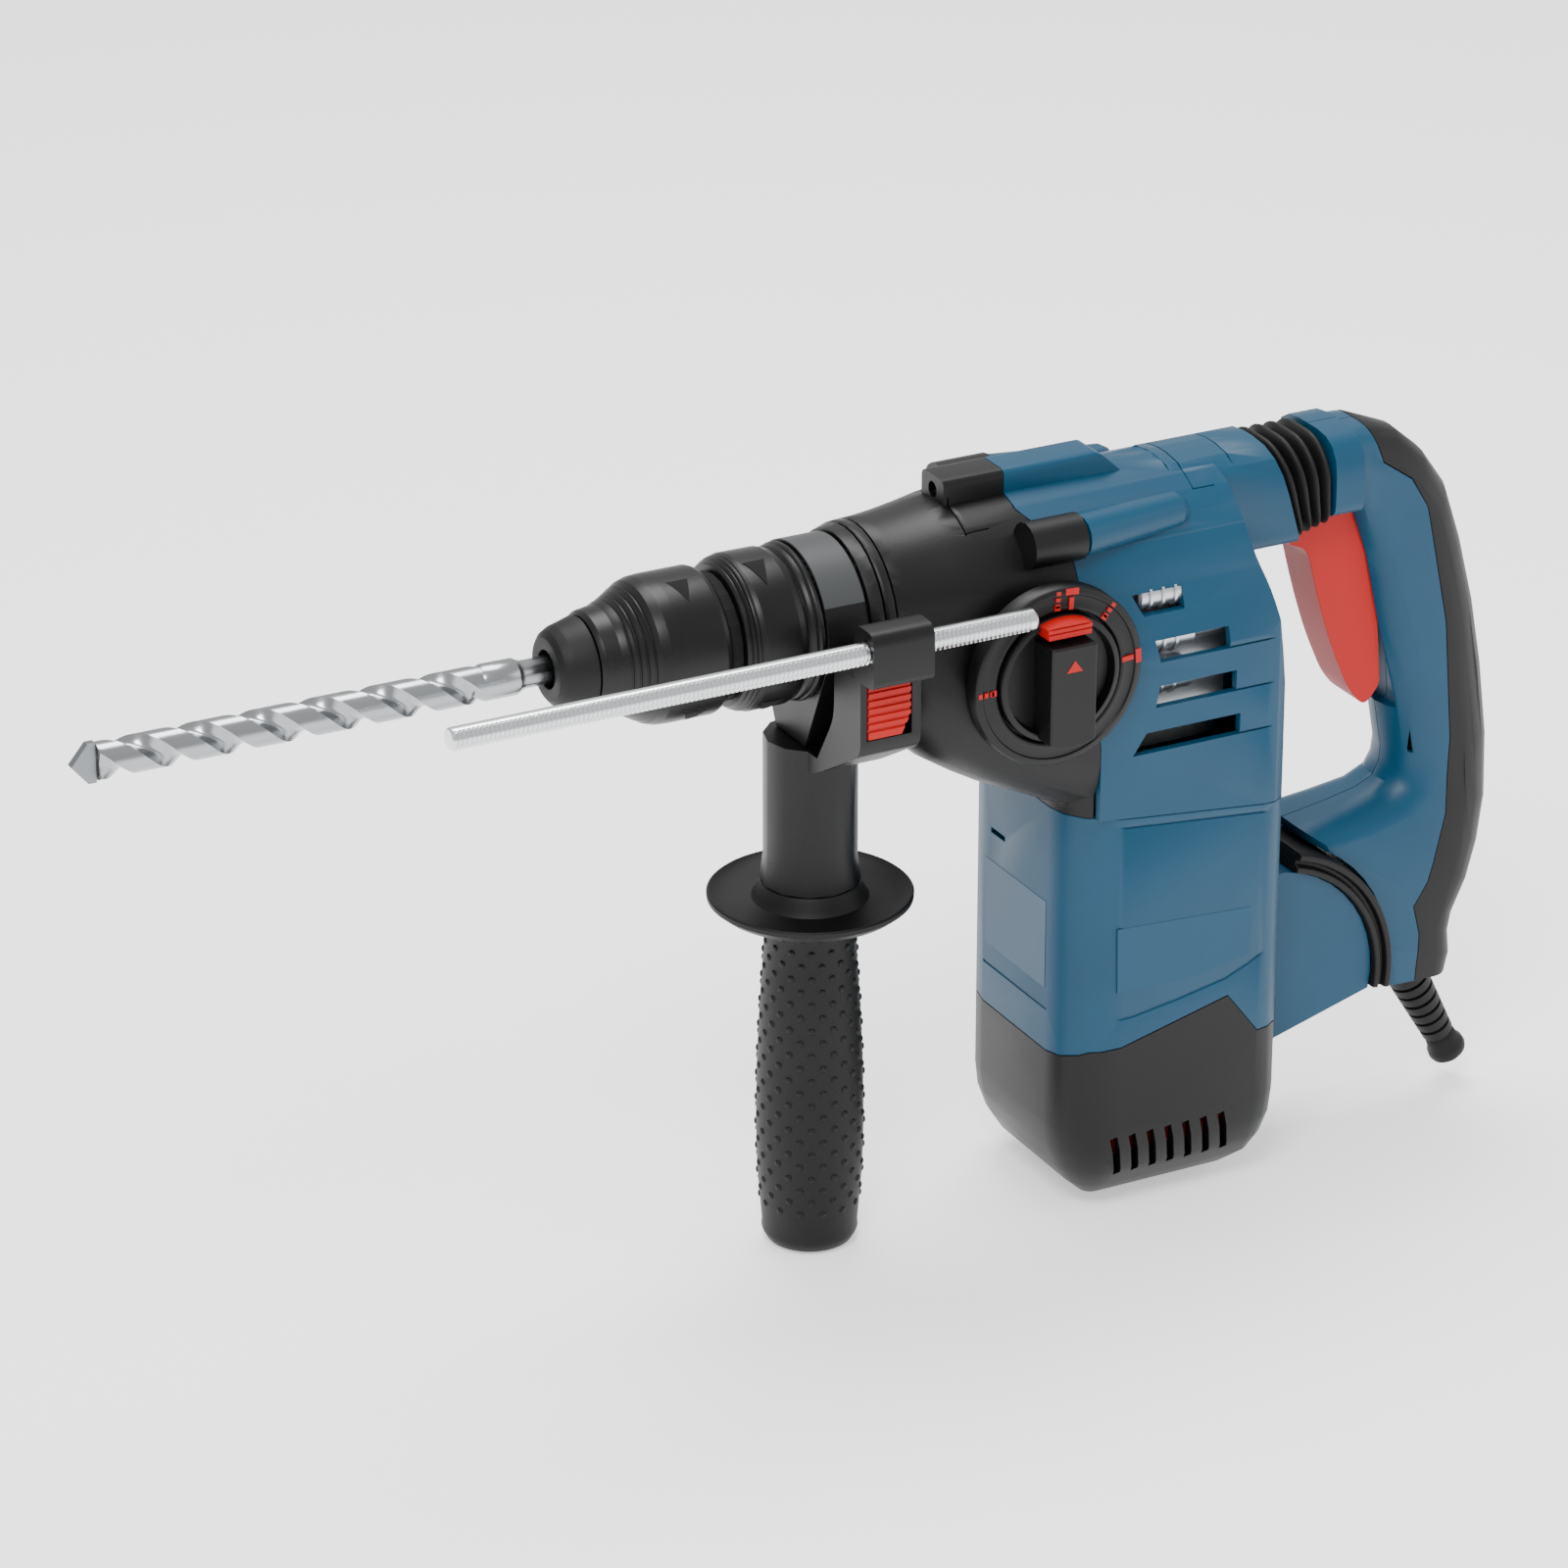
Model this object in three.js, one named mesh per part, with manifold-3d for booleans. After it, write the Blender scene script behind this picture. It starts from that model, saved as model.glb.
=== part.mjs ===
// Rotary hammer: vertical motor, crank-driven hammer, quick-change chuck, damped D-handle and side handle.
// Millimetres, +Z up. The tool axis is X with the drill bit towards -X; casings are symmetric about Y = 0.
import * as THREE from "three";
import { mergeVertices } from "three/addons/utils/BufferGeometryUtils.js";
import Module from "manifold-3d";

const wasm = await Module();
wasm.setup();

// ---- Driving dimensions --------------------------------------------------------------------------

// Clearances
const GAP = 0.3; // between pieces that touch
const RUN = 0.5; // around pieces that turn or slide

// Drill bit with a 10 mm slotted shank
const SHANK_RADIUS = 5;
const SHANK_DEPTH = 46; // how far the shank reaches behind the nose plane
const BIT_RADIUS = 6.5;
const BIT_REACH = 163; // cutting end of the steel body, ahead of the nose plane
const FLUTE_DEPTH = 2.5;
const FLUTE_PITCH = 44;
const COLLAR_LENGTH = 14;
const TIP_LENGTH = 9;
const TIP_HALF_WIDTH = 7.2;

// Chuck
const NOSE_START = 1.5;
const NOSE_LENGTH = 13;
const SLEEVE_LENGTH = 45.7;
const SLEEVE_TRAVEL = 5;
const SLEEVE_RADIUS = 26.3;
const RING_LENGTH = 28.5;
const RING_RADIUS = 28.2;
const HOLDER_RADIUS = SHANK_RADIUS + 6;
const BALL_RADIUS = 3.4;

// Hammer tube
const TUBE_BORE = 13.5;
const TUBE_WALL = 2.3;
const STRIKER_LENGTH = 18;
const STRIKER_TRAVEL = 8;
const PISTON_LENGTH = 28;
const PISTON_CROWN = 4;
const PISTON_SKIRT = 2.2;
const BOLT_TRAVEL = 1.5;

// Side handle
const CLAMP_WIDTH = 16;
const COLLAR_RADIUS = 25; // the 50 mm clamping collar
const BAND_WALL = 3.1;
const NECK_RADIUS = 16.8;
const GUARD_RADIUS = 37;
const GUARD_DROP = 106; // from the tool axis down to the guard's rim
const GRIP_RADIUS = 19.4;
const STOP_RADIUS = 4;
const STOP_SIDE = 56.6; // the depth rod's distance beside the tool axis
const STOP_HEIGHT = 9;
const STOP_FRONT = 61;
const STOP_BACK = 160;
const BUTTON_TRAVEL = 3;

// Casings
const GEARBOX_LENGTH = 80;
const HOUSING_LENGTH = 87;
const WALL = 3;
const BODY_HALF_WIDTH = 43;
const ARCH_RADIUS = 36.5;
const MOTOR_DEPTH = 91;
const SEAM_DROP = 84; // seam between upper housing and motor housing, below the tool axis
const CAP_DROP = 173.6; // seam between motor housing and motor cap
const SKIRT_DROP = 206; // where the cap's sides turn under
const CAP_ROUNDING = 31;
const HEIGHT_BELOW = 243; // resting plane below the tool axis

// Gears
const MODULE = 1.2;
const PINION_TEETH = 8;
const CRANK_TEETH = 36;
const LAYSHAFT_TEETH = 24;
const BEVEL_PINION_TEETH = 9;
const BEVEL_RING_TEETH = 27;
const BEVEL_PITCH_RADIUS = 8;
const GEAR_DROP = 46;
const GEAR_WIDTH = 7;
const CRANK_THROW = 6;
const ROD_LENGTH = 62;
const CRANK_PIN_RADIUS = 3.5;

// Motor
const SHAFT_RADIUS = 5;
const CORE_RADIUS = 23.8;
const STATOR_RADIUS = 37;
const CORE_TOP = 124; // below the tool axis
const CORE_BOTTOM = 178;
const FAN_RADIUS = 34;
const COMMUTATOR_RADIUS = 13;

// Mode selector
const BEZEL_RADIUS = 33.3;
const BEZEL_DEPTH = 6.6;
const KNOB_RADIUS = 24;
const KNOB_DROP = 18.5;

// D-handle
const BELLOWS_LENGTH = 24.5;
const HANDLE_DEPTH = 79; // from the bellows to the back of the grip
const HANDLE_HALF_WIDTH = 17.5;
const NECK_HALF_WIDTH = 21;
const HANDLE_RISE = 6; // underside of the handle's top end, above the tool axis
const JOINT_RADIUS = 48; // end of the arm that carries the handle
const JOINT_RUBBER = 8.1;
const JOINT_CLEARANCE = 1.5;
const TRIGGER_HALF_WIDTH = 9.5;
const TOWER_RADIUS = 8.5;
const NECK_LEAN = 11;
const NECK_DROP = 1;
const BOSS_TURN = 0.14; // the bosses run in towards the arch
const BOOT_RADIUS = 8.5;

// ---- Stations worked out from the driving dimensions ---------------------------------------------

const sleeveStart = NOSE_START + NOSE_LENGTH + GAP;
const sleeveEnd = sleeveStart + SLEEVE_LENGTH;
const flangeEnd = sleeveEnd + SLEEVE_TRAVEL;
const ringStart = flangeEnd + RUN;
const ringEnd = ringStart + RING_LENGTH;
const collarStart = ringEnd + GAP;
const collarEnd = collarStart + CLAMP_WIDTH + 1;
const clampCentre = (collarStart + collarEnd) / 2;
const gearboxStart = collarEnd + GAP;
const housingStart = gearboxStart + GEARBOX_LENGTH;
const gearboxEnd = housingStart - GAP;
const housingEnd = housingStart + HOUSING_LENGTH;
const bellowsStart = housingEnd + GAP;
const bellowsEnd = bellowsStart + BELLOWS_LENGTH;
const handleStart = bellowsEnd + GAP;
const handleEnd = handleStart + HANDLE_DEPTH;
const motorFront = housingStart - 5;
const motorBack = motorFront + MOTOR_DEPTH;
const motorX = (motorFront + motorBack) / 2;

const pinionRadius = (MODULE * PINION_TEETH) / 2;
const crankRadius = (MODULE * CRANK_TEETH) / 2;
const layshaftRadius = (MODULE * LAYSHAFT_TEETH) / 2;
const crankX = motorX - pinionRadius - crankRadius;
const layshaftX = crankX - crankRadius - layshaftRadius;
const crankPinX = crankX + CRANK_THROW;
const wristX = crankPinX - ROD_LENGTH;
const bevelRingRadius = (BEVEL_PITCH_RADIUS * BEVEL_RING_TEETH) / BEVEL_PINION_TEETH;
const tubeRadius = TUBE_BORE + TUBE_WALL;
const tubeStart = flangeEnd + GAP;
const tubeEnd = layshaftX - 2;
const pistonStart = wristX - 2 * CRANK_THROW - 4.2 - PISTON_CROWN - 1;
const pistonTravel = 2 * CRANK_THROW;
const strikerEnd = pistonStart - pistonTravel - 1;
const strikerStart = strikerEnd - STRIKER_LENGTH;
const boltEnd = strikerStart - STRIKER_TRAVEL - 2;
const boltHead = boltEnd - 12;
const gearTop = -GEAR_DROP + GEAR_WIDTH;
const plateTop = -GEAR_DROP - 10;
const plateBottom = plateTop - 7;

const jointX = motorBack - 1;
const jointZ = -CAP_DROP - 1.4;
const pivotX = jointX + 33;
const pivotZ = jointZ + 10;
const triggerPivotX = handleStart + 14.5;
const triggerPivotZ = HANDLE_RISE + 6;
const handleWebX = handleEnd - 23; // where the blue shells end and the soft grip starts

// ---- Geometry helpers ----------------------------------------------------------------------------

// A closed geometry as a solid that can be joined and cut, with its faces turned outwards.
function solid(geometry) {
  const plain = geometry.index ? geometry.toNonIndexed() : geometry.clone();
  plain.deleteAttribute("normal");
  plain.deleteAttribute("uv");
  const merged = mergeVertices(plain, 1e-4);
  const corners = [];
  for (let i = 0; i < merged.index.count; i += 3) {
    const [a, b, c] = [0, 1, 2].map((k) => merged.index.getX(i + k));
    if (a !== b && b !== c && c !== a) corners.push(a, b, c);
  }
  const vertProperties = new Float32Array(merged.attributes.position.array);
  const build = (triVerts) => new wasm.Manifold(new wasm.Mesh({ numProp: 3, vertProperties, triVerts }));
  const made = build(new Uint32Array(corners));
  return made.volume() > 0 ? made : build(new Uint32Array(corners.reverse()));
}

// The triangles of a solid as a three.js geometry.
function geometryOf(made) {
  const mesh = made.getMesh();
  const positions = new Float32Array(mesh.numVert * 3);
  for (let i = 0; i < mesh.numVert; i++) {
    positions.set(mesh.vertProperties.subarray(i * mesh.numProp, i * mesh.numProp + 3), i * 3);
  }
  const geometry = new THREE.BufferGeometry();
  geometry.setAttribute("position", new THREE.BufferAttribute(positions, 3));
  geometry.setIndex(new THREE.BufferAttribute(new Uint32Array(mesh.triVerts), 1));
  geometry.computeVertexNormals();
  return geometry;
}

const joined = (first, ...others) => others.reduce((sum, next) => sum.add(next), first);
const cut = (first, ...others) => others.reduce((rest, next) => rest.subtract(next), first);

// A profile of [along, radius] points turned about an axis through the origin.
function turned(axis, profile, segments = 24) {
  const points = profile.map(([along, radius]) => new THREE.Vector2(radius, along));
  const geometry = new THREE.LatheGeometry(points, segments);
  if (axis === "x") geometry.rotateZ(-Math.PI / 2);
  if (axis === "z") geometry.rotateX(Math.PI / 2);
  return geometry;
}

// A solid round bar along an axis.
function bar(axis, radius, from, to, segments = 24) {
  return turned(axis, [[from, 0], [from, radius], [to, radius], [to, 0]], segments);
}

// A round tube along an axis.
function pipe(axis, inner, outer, from, to, segments = 24) {
  return turned(axis, [[from, inner], [from, outer], [to, outer], [to, inner], [from, inner]], segments);
}

function moved(geometry, x, y, z) {
  return geometry.translate(x, y, z);
}

function block(x0, x1, y0, y1, z0, z1) {
  const geometry = new THREE.BoxGeometry(x1 - x0, y1 - y0, z1 - z0);
  return geometry.translate((x0 + x1) / 2, (y0 + y1) / 2, (z0 + z1) / 2);
}

// A closed outline of [x, y] or [x, y, corner radius] points.
function outline(points) {
  const shape = new THREE.Shape();
  const count = points.length;
  points.forEach(([x, y, radius = 0], i) => {
    const here = new THREE.Vector2(x, y);
    const before = new THREE.Vector2(...points[(i + count - 1) % count].slice(0, 2)).sub(here);
    const after = new THREE.Vector2(...points[(i + 1) % count].slice(0, 2)).sub(here);
    const reach = Math.min(radius, before.length() * 0.49, after.length() * 0.49);
    const enter = before.setLength(reach).add(here);
    const leave = after.setLength(reach).add(here);
    if (i === 0) shape.moveTo(enter.x, enter.y);
    else shape.lineTo(enter.x, enter.y);
    if (reach > 0) shape.quadraticCurveTo(x, y, leave.x, leave.y);
  });
  shape.closePath();
  return shape;
}

// An outline made thick along an axis: plan outlines along z, side outlines (x, z) along y, front (y, z)
// along x.
function plate(axis, shape, from, to, options = {}) {
  const settings = { depth: to - from, bevelEnabled: false, curveSegments: 4, ...options };
  const geometry = new THREE.ExtrudeGeometry(shape, settings);
  if (axis === "z") return geometry.translate(0, 0, from);
  if (axis === "y") return geometry.translate(0, 0, -to).rotateX(Math.PI / 2);
  const turn = new THREE.Matrix4().makeBasis(
    new THREE.Vector3(0, 1, 0),
    new THREE.Vector3(0, 0, 1),
    new THREE.Vector3(1, 0, 0),
  );
  return geometry.applyMatrix4(turn).translate(from, 0, 0);
}

// A closed skin over rings of equally many points, with flat ends.
function loft(rings) {
  const size = rings[0].length;
  const points = rings.flat();
  const index = [];
  for (let r = 0; r + 1 < rings.length; r++) {
    for (let k = 0; k < size; k++) {
      const a = r * size + k;
      const b = r * size + ((k + 1) % size);
      index.push(a, b, b + size, a, b + size, a + size);
    }
  }
  const last = (rings.length - 1) * size;
  const first = points.push(centre(rings[0])) - 1;
  const end = points.push(centre(rings[rings.length - 1])) - 1;
  for (let k = 0; k < size; k++) {
    const next = (k + 1) % size;
    index.push(first, next, k, end, last + k, last + next);
  }
  const geometry = new THREE.BufferGeometry().setFromPoints(points);
  geometry.setIndex(index);
  return geometry;
}

function centre(ring) {
  return ring.reduce((sum, point) => sum.add(point), new THREE.Vector3()).divideScalar(ring.length);
}

// Points along an arc about (cx, cy), angles in degrees.
function arc(cx, cy, radius, from, to, steps) {
  return Array.from({ length: steps + 1 }, (_, i) => {
    const angle = ((from + ((to - from) * i) / steps) * Math.PI) / 180;
    return [cx + radius * Math.cos(angle), cy + radius * Math.sin(angle)];
  });
}

// A rounded rectangle as [x, y] points, with front and back corner radii.
function roundedRectangle(x0, x1, halfWidth, frontRadius, backRadius, steps = 4) {
  return [
    ...arc(x1 - backRadius, halfWidth - backRadius, backRadius, 0, 90, steps),
    ...arc(x0 + frontRadius, halfWidth - frontRadius, frontRadius, 90, 180, steps),
    ...arc(x0 + frontRadius, frontRadius - halfWidth, frontRadius, 180, 270, steps),
    ...arc(x1 - backRadius, backRadius - halfWidth, backRadius, 270, 360, steps),
  ];
}

// Straight-flanked gear outline; firstTooth is the angle of a tooth's middle in degrees.
function gearOutline(teeth, firstTooth) {
  const pitchRadius = (MODULE * teeth) / 2;
  const tip = pitchRadius + 0.5 * MODULE;
  const root = pitchRadius - MODULE;
  const step = (2 * Math.PI) / teeth;
  const start = (firstTooth * Math.PI) / 180;
  const flank = (radius, share) => [radius, share * step];
  const tooth = [flank(root, -0.3), flank(tip, -0.15), flank(tip, 0.15), flank(root, 0.3)];
  const points = [];
  for (let i = 0; i < teeth; i++) {
    for (const [radius, offset] of tooth) {
      const angle = start + i * step + offset;
      points.push(new THREE.Vector2(radius * Math.cos(angle), radius * Math.sin(angle)));
    }
  }
  return new THREE.Shape(points);
}

// ---- Finishes ------------------------------------------------------------------------------------

const finish = (color, roughness, metalness) => new THREE.MeshStandardMaterial({ color, roughness,
  metalness });
const bluePlastic = finish(0x2b6a92, 0.45, 0);
const blackPlastic = finish(0x25282b, 0.55, 0);
const softRubber = finish(0x17181a, 0.8, 0);
const redPlastic = finish(0xe8301a, 0.45, 0);
const greyPlastic = finish(0x84888b, 0.5, 0);
const brightSteel = finish(0xc4c8cb, 0.3, 1);
const darkSteel = finish(0x6d7276, 0.4, 1);
const carbide = finish(0x9a9ea1, 0.4, 1);
const castAluminium = finish(0xa9adb0, 0.45, 1);
const laminations = finish(0x565a5e, 0.5, 1);
const copper = finish(0xb5713f, 0.35, 1);
const graphite = finish(0x303234, 0.7, 0);
const brass = finish(0xb99a4e, 0.35, 1);

const hammer = new THREE.Group();

function piece(name, made, material) {
  const mesh = new THREE.Mesh(geometryOf(made), material);
  mesh.name = name;
  hammer.add(mesh);
}

// ---- Drill bit -----------------------------------------------------------------------------------

// Two helical flutes: the section turns with distance, and dips on two opposite sides.
function flutedBody(from, to) {
  const steps = Math.round((to - from) / (FLUTE_PITCH / 12));
  const corners = 12;
  const rings = [];
  for (let i = 0; i <= steps; i++) {
    const x = from + ((to - from) * i) / steps;
    const twist = (2 * Math.PI * x) / FLUTE_PITCH;
    const ring = [];
    for (let k = 0; k < corners; k++) {
      const angle = (2 * Math.PI * k) / corners;
      const dip = FLUTE_DEPTH * Math.max(0, Math.cos(2 * angle));
      const radius = BIT_RADIUS - dip;
      ring.push(new THREE.Vector3(x, radius * Math.cos(angle + twist), radius * Math.sin(angle + twist)));
    }
    rings.push(ring);
  }
  return loft(rings);
}

function makeBit() {
  const collarEndX = -10;
  const fluteEnd = collarEndX - COLLAR_LENGTH;
  const body = joined(
    solid(flutedBody(-BIT_REACH, fluteEnd + 1)),
    solid(turned("x", [[fluteEnd, 0], [fluteEnd, BIT_RADIUS], [collarEndX, BIT_RADIUS],
      [collarEndX + 2, SHANK_RADIUS],
      [SHANK_DEPTH - 1, SHANK_RADIUS], [SHANK_DEPTH, SHANK_RADIUS - 1], [SHANK_DEPTH, 0]], 20)),
  );
  const grooveStart = ballX - 4;
  const cuts = [1, -1].flatMap((side) => [
    solid(moved(block(grooveStart, grooveStart + 16, -3, 3, -1.5, 1.5), 0, 0, side * (SHANK_RADIUS + 0.1))),
    solid(moved(block(NOSE_START + 3, SHANK_DEPTH + 1, -1.2, 1.2, -1.5, 1.5), 0, side * SHANK_RADIUS, 0)),
  ]);
  piece("drill_bit", cut(body, ...cuts), brightSteel);

  const tipBack = -BIT_REACH - GAP;
  const roof = [[tipBack - TIP_LENGTH, 0], [tipBack - 3, TIP_HALF_WIDTH], [tipBack, TIP_HALF_WIDTH],
    [tipBack, -TIP_HALF_WIDTH], [tipBack - 3, -TIP_HALF_WIDTH]];
  piece("carbide_tip", solid(plate("y", outline(roof), -1.6, 1.6)), carbide);
}

// ---- Chuck ---------------------------------------------------------------------------------------

const ballX = sleeveStart + 18;
const springStart = sleeveStart + 24.5;

function makeChuck() {
  const capBore = HOLDER_RADIUS + GAP;
  const noseEnd = NOSE_START + NOSE_LENGTH;
  const mouth = SHANK_RADIUS + 1.8;
  piece("dust_cap", solid(turned("x", [[NOSE_START, mouth], [NOSE_START, 11.6], [NOSE_START + 1, 12.8],
    [NOSE_START + 4.5, 14.5], [NOSE_START + 8.5, 15.5], [noseEnd, 16.9], [noseEnd, capBore],
    [NOSE_START + 3, capBore], [NOSE_START + 3, mouth], [NOSE_START, mouth]])), softRubber);

  const holderStart = NOSE_START + 3 + GAP;
  const flangeRadius = SLEEVE_RADIUS - 2.9 - RUN;
  const shankBore = SHANK_RADIUS + GAP;
  const boltBore = boltNoseRadius + RUN;
  const holder = solid(turned("x", [[holderStart, shankBore], [holderStart, HOLDER_RADIUS],
    [sleeveEnd - 2.3, HOLDER_RADIUS], [sleeveEnd - 2.3, flangeRadius], [flangeEnd, flangeRadius],
    [flangeEnd, boltBore], [SHANK_DEPTH + 1, boltBore], [SHANK_DEPTH + 1, shankBore],
      [holderStart, shankBore]]));
  const window = (side) => solid(moved(block(ballX - BALL_RADIUS - GAP, ballX + BALL_RADIUS + GAP,
    -BALL_RADIUS - GAP, BALL_RADIUS + GAP, -5, 5), 0, 0, side * (HOLDER_RADIUS - 2)));
  const key = (side) => solid(moved(block(ballX - 12, ballX + 8, -1.2, 1.2, -1.1, 1.1), 0,
    side * (SHANK_RADIUS + 0.4), 0));
  piece("tool_holder", joined(cut(holder, window(1), window(-1)), key(1), key(-1)), darkSteel);

  for (const [name, side] of [["locking_ball_upper", 1], ["locking_ball_lower", -1]]) {
    const ball = new THREE.SphereGeometry(BALL_RADIUS, 12, 8);
    piece(name, solid(moved(ball, ballX, 0, side * (SHANK_RADIUS + BALL_RADIUS - 0.3))), brightSteel);
  }

  const cam = HOLDER_RADIUS + 1.1;
  const sleeveBore = SLEEVE_RADIUS - 2.9;
  piece("locking_sleeve", solid(turned("x", [[sleeveStart, cam + 2.7], [sleeveStart, 17.2],
    [sleeveStart + 1.7, 18],
    [sleeveStart + 7.2, 18.6], [sleeveStart + 11.8, 20.4], [sleeveStart + 16.2, SLEEVE_RADIUS - 3.5],
    [sleeveStart + 19.4, SLEEVE_RADIUS - 1.3], [sleeveStart + 22.7, SLEEVE_RADIUS - 0.3],
    [sleeveEnd - 2.5, SLEEVE_RADIUS], [sleeveEnd, SLEEVE_RADIUS - 1.1], [sleeveEnd, sleeveBore],
    [springStart - 0.8, sleeveBore], [springStart - 0.8, cam], [sleeveStart + 14.2, cam],
    [sleeveStart + 14.2, cam + 2.7], [sleeveStart, cam + 2.7]], 32)), blackPlastic);

  const wire = 1;
  const turns = 5;
  piece("sleeve_spring", solid(coil(springStart, sleeveEnd - 2.3 - RUN, HOLDER_RADIUS + 4, wire, turns)),
    darkSteel);

  const ringBore = tubeRadius + 0.8;
  const ringRoom = RING_RADIUS - 5;
  piece("lock_ring", solid(turned("x", [[ringStart, ringBore], [ringStart, RING_RADIUS - 3.3],
    [ringStart + 3.2, RING_RADIUS - 1], [ringStart + 6.6, RING_RADIUS - 0.2],
      [ringEnd - 9, RING_RADIUS - 0.4],
    [ringEnd - 6, RING_RADIUS - 2.1], [ringEnd - 4.2, RING_RADIUS - 1.4], [ringEnd - 1.3, RING_RADIUS],
    [ringEnd, RING_RADIUS - 0.1], [ringEnd, ringRoom], [ringStart + 4, ringRoom], [ringStart + 4, ringBore],
    [ringStart, ringBore]], 32)), blackPlastic);
}

// A coil spring about the tool axis, as one round wire with flat ends.
function coil(from, to, radius, wire, turns) {
  const stepsPerTurn = 10;
  const sides = 6;
  const lead = (to - from - 2 * wire) / turns;
  const rings = [];
  for (let i = 0; i <= turns * stepsPerTurn; i++) {
    const turn = i / stepsPerTurn;
    const angle = 2 * Math.PI * turn;
    const ring = [];
    for (let k = 0; k < sides; k++) {
      const around = (2 * Math.PI * k) / sides;
      const r = radius + wire * Math.cos(around);
      const x = from + wire + lead * turn + wire * Math.sin(around);
      ring.push(new THREE.Vector3(x, r * Math.cos(angle), r * Math.sin(angle)));
    }
    rings.push(ring);
  }
  return loft(rings);
}

// ---- Hammer mechanism ----------------------------------------------------------------------------

const boltNoseRadius = 8;

function makeHammerMechanism() {
  const boltStart = SHANK_DEPTH + 1 + BOLT_TRAVEL + RUN;
  const bolt = turned("x", [[boltStart, 0], [boltStart, boltNoseRadius], [boltHead, boltNoseRadius],
    [boltHead, TUBE_BORE - RUN], [boltHead + 6, TUBE_BORE - RUN], [boltHead + 8, boltNoseRadius],
    [boltEnd, boltNoseRadius], [boltEnd, 0]]);
  piece("impact_bolt", solid(bolt), brightSteel);

  const boltSeat = boltHead - BOLT_TRAVEL - RUN;
  const nose = boltNoseRadius + RUN;
  piece("hammer_tube", solid(turned("x", [[tubeStart, nose], [tubeStart, tubeRadius], [tubeEnd, tubeRadius],
    [tubeEnd, TUBE_BORE], [boltSeat, TUBE_BORE], [boltSeat, nose], [tubeStart, nose]], 32)), darkSteel);

  const fit = TUBE_BORE - GAP;
  piece("striker", solid(bar("x", fit, strikerStart, strikerEnd)), brightSteel);

  const skirt = fit - PISTON_SKIRT;
  const pistonEnd = pistonStart + PISTON_LENGTH;
  piece("piston", solid(turned("x", [[pistonStart, 0], [pistonStart, fit], [pistonEnd, fit],
    [pistonEnd, skirt],
    [pistonStart + PISTON_CROWN, skirt], [pistonStart + PISTON_CROWN, 0]])), castAluminium);

  const eyeHeight = 3;
  const wristPinRadius = 2;
  const beam = block(wristX + 2.5, crankPinX - 5, -2.6, 2.6, -eyeHeight, eyeHeight);
  const bigEye = moved(bar("z", 7, -eyeHeight, eyeHeight), crankPinX, 0, 0);
  const smallEye = moved(bar("z", 4, -eyeHeight, eyeHeight, 16), wristX, 0, 0);
  const bigBore = moved(bar("z", CRANK_PIN_RADIUS + GAP, -9, 9), crankPinX, 0, 0);
  const smallBore = moved(bar("z", wristPinRadius + GAP, -9, 9, 16), wristX, 0, 0);
  const rod = joined(solid(beam), solid(bigEye), solid(smallEye));
  piece("connecting_rod", cut(rod, solid(bigBore), solid(smallBore)), castAluminium);
  piece("wrist_pin", solid(moved(bar("z", wristPinRadius, -6, 6, 16), wristX, 0, 0)), brightSteel);
}

// ---- Gears ---------------------------------------------------------------------------------------

// Teeth that run to the apex of two meeting cones. at(r, angle, offset) gives a point on the gear's own cone.
function bevelTeeth(count, firstTooth, at) {
  const step = (2 * Math.PI) / count;
  const heights = [[-1.6, 0.24], [0.8, 0.13]];
  const teeth = [];
  for (let i = 0; i < count; i++) {
    const middle = (firstTooth * Math.PI) / 180 + i * step;
    const rings = [1, 0.74].map((scale) => {
      const [[low, wide], [high, narrow]] = heights;
      return [[low, -wide], [high, -narrow], [high, narrow], [low, wide]].map(([height, share]) =>
        at(scale, middle + share * step, height * scale));
    });
    teeth.push(solid(loft(rings)));
  }
  return teeth;
}

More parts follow.
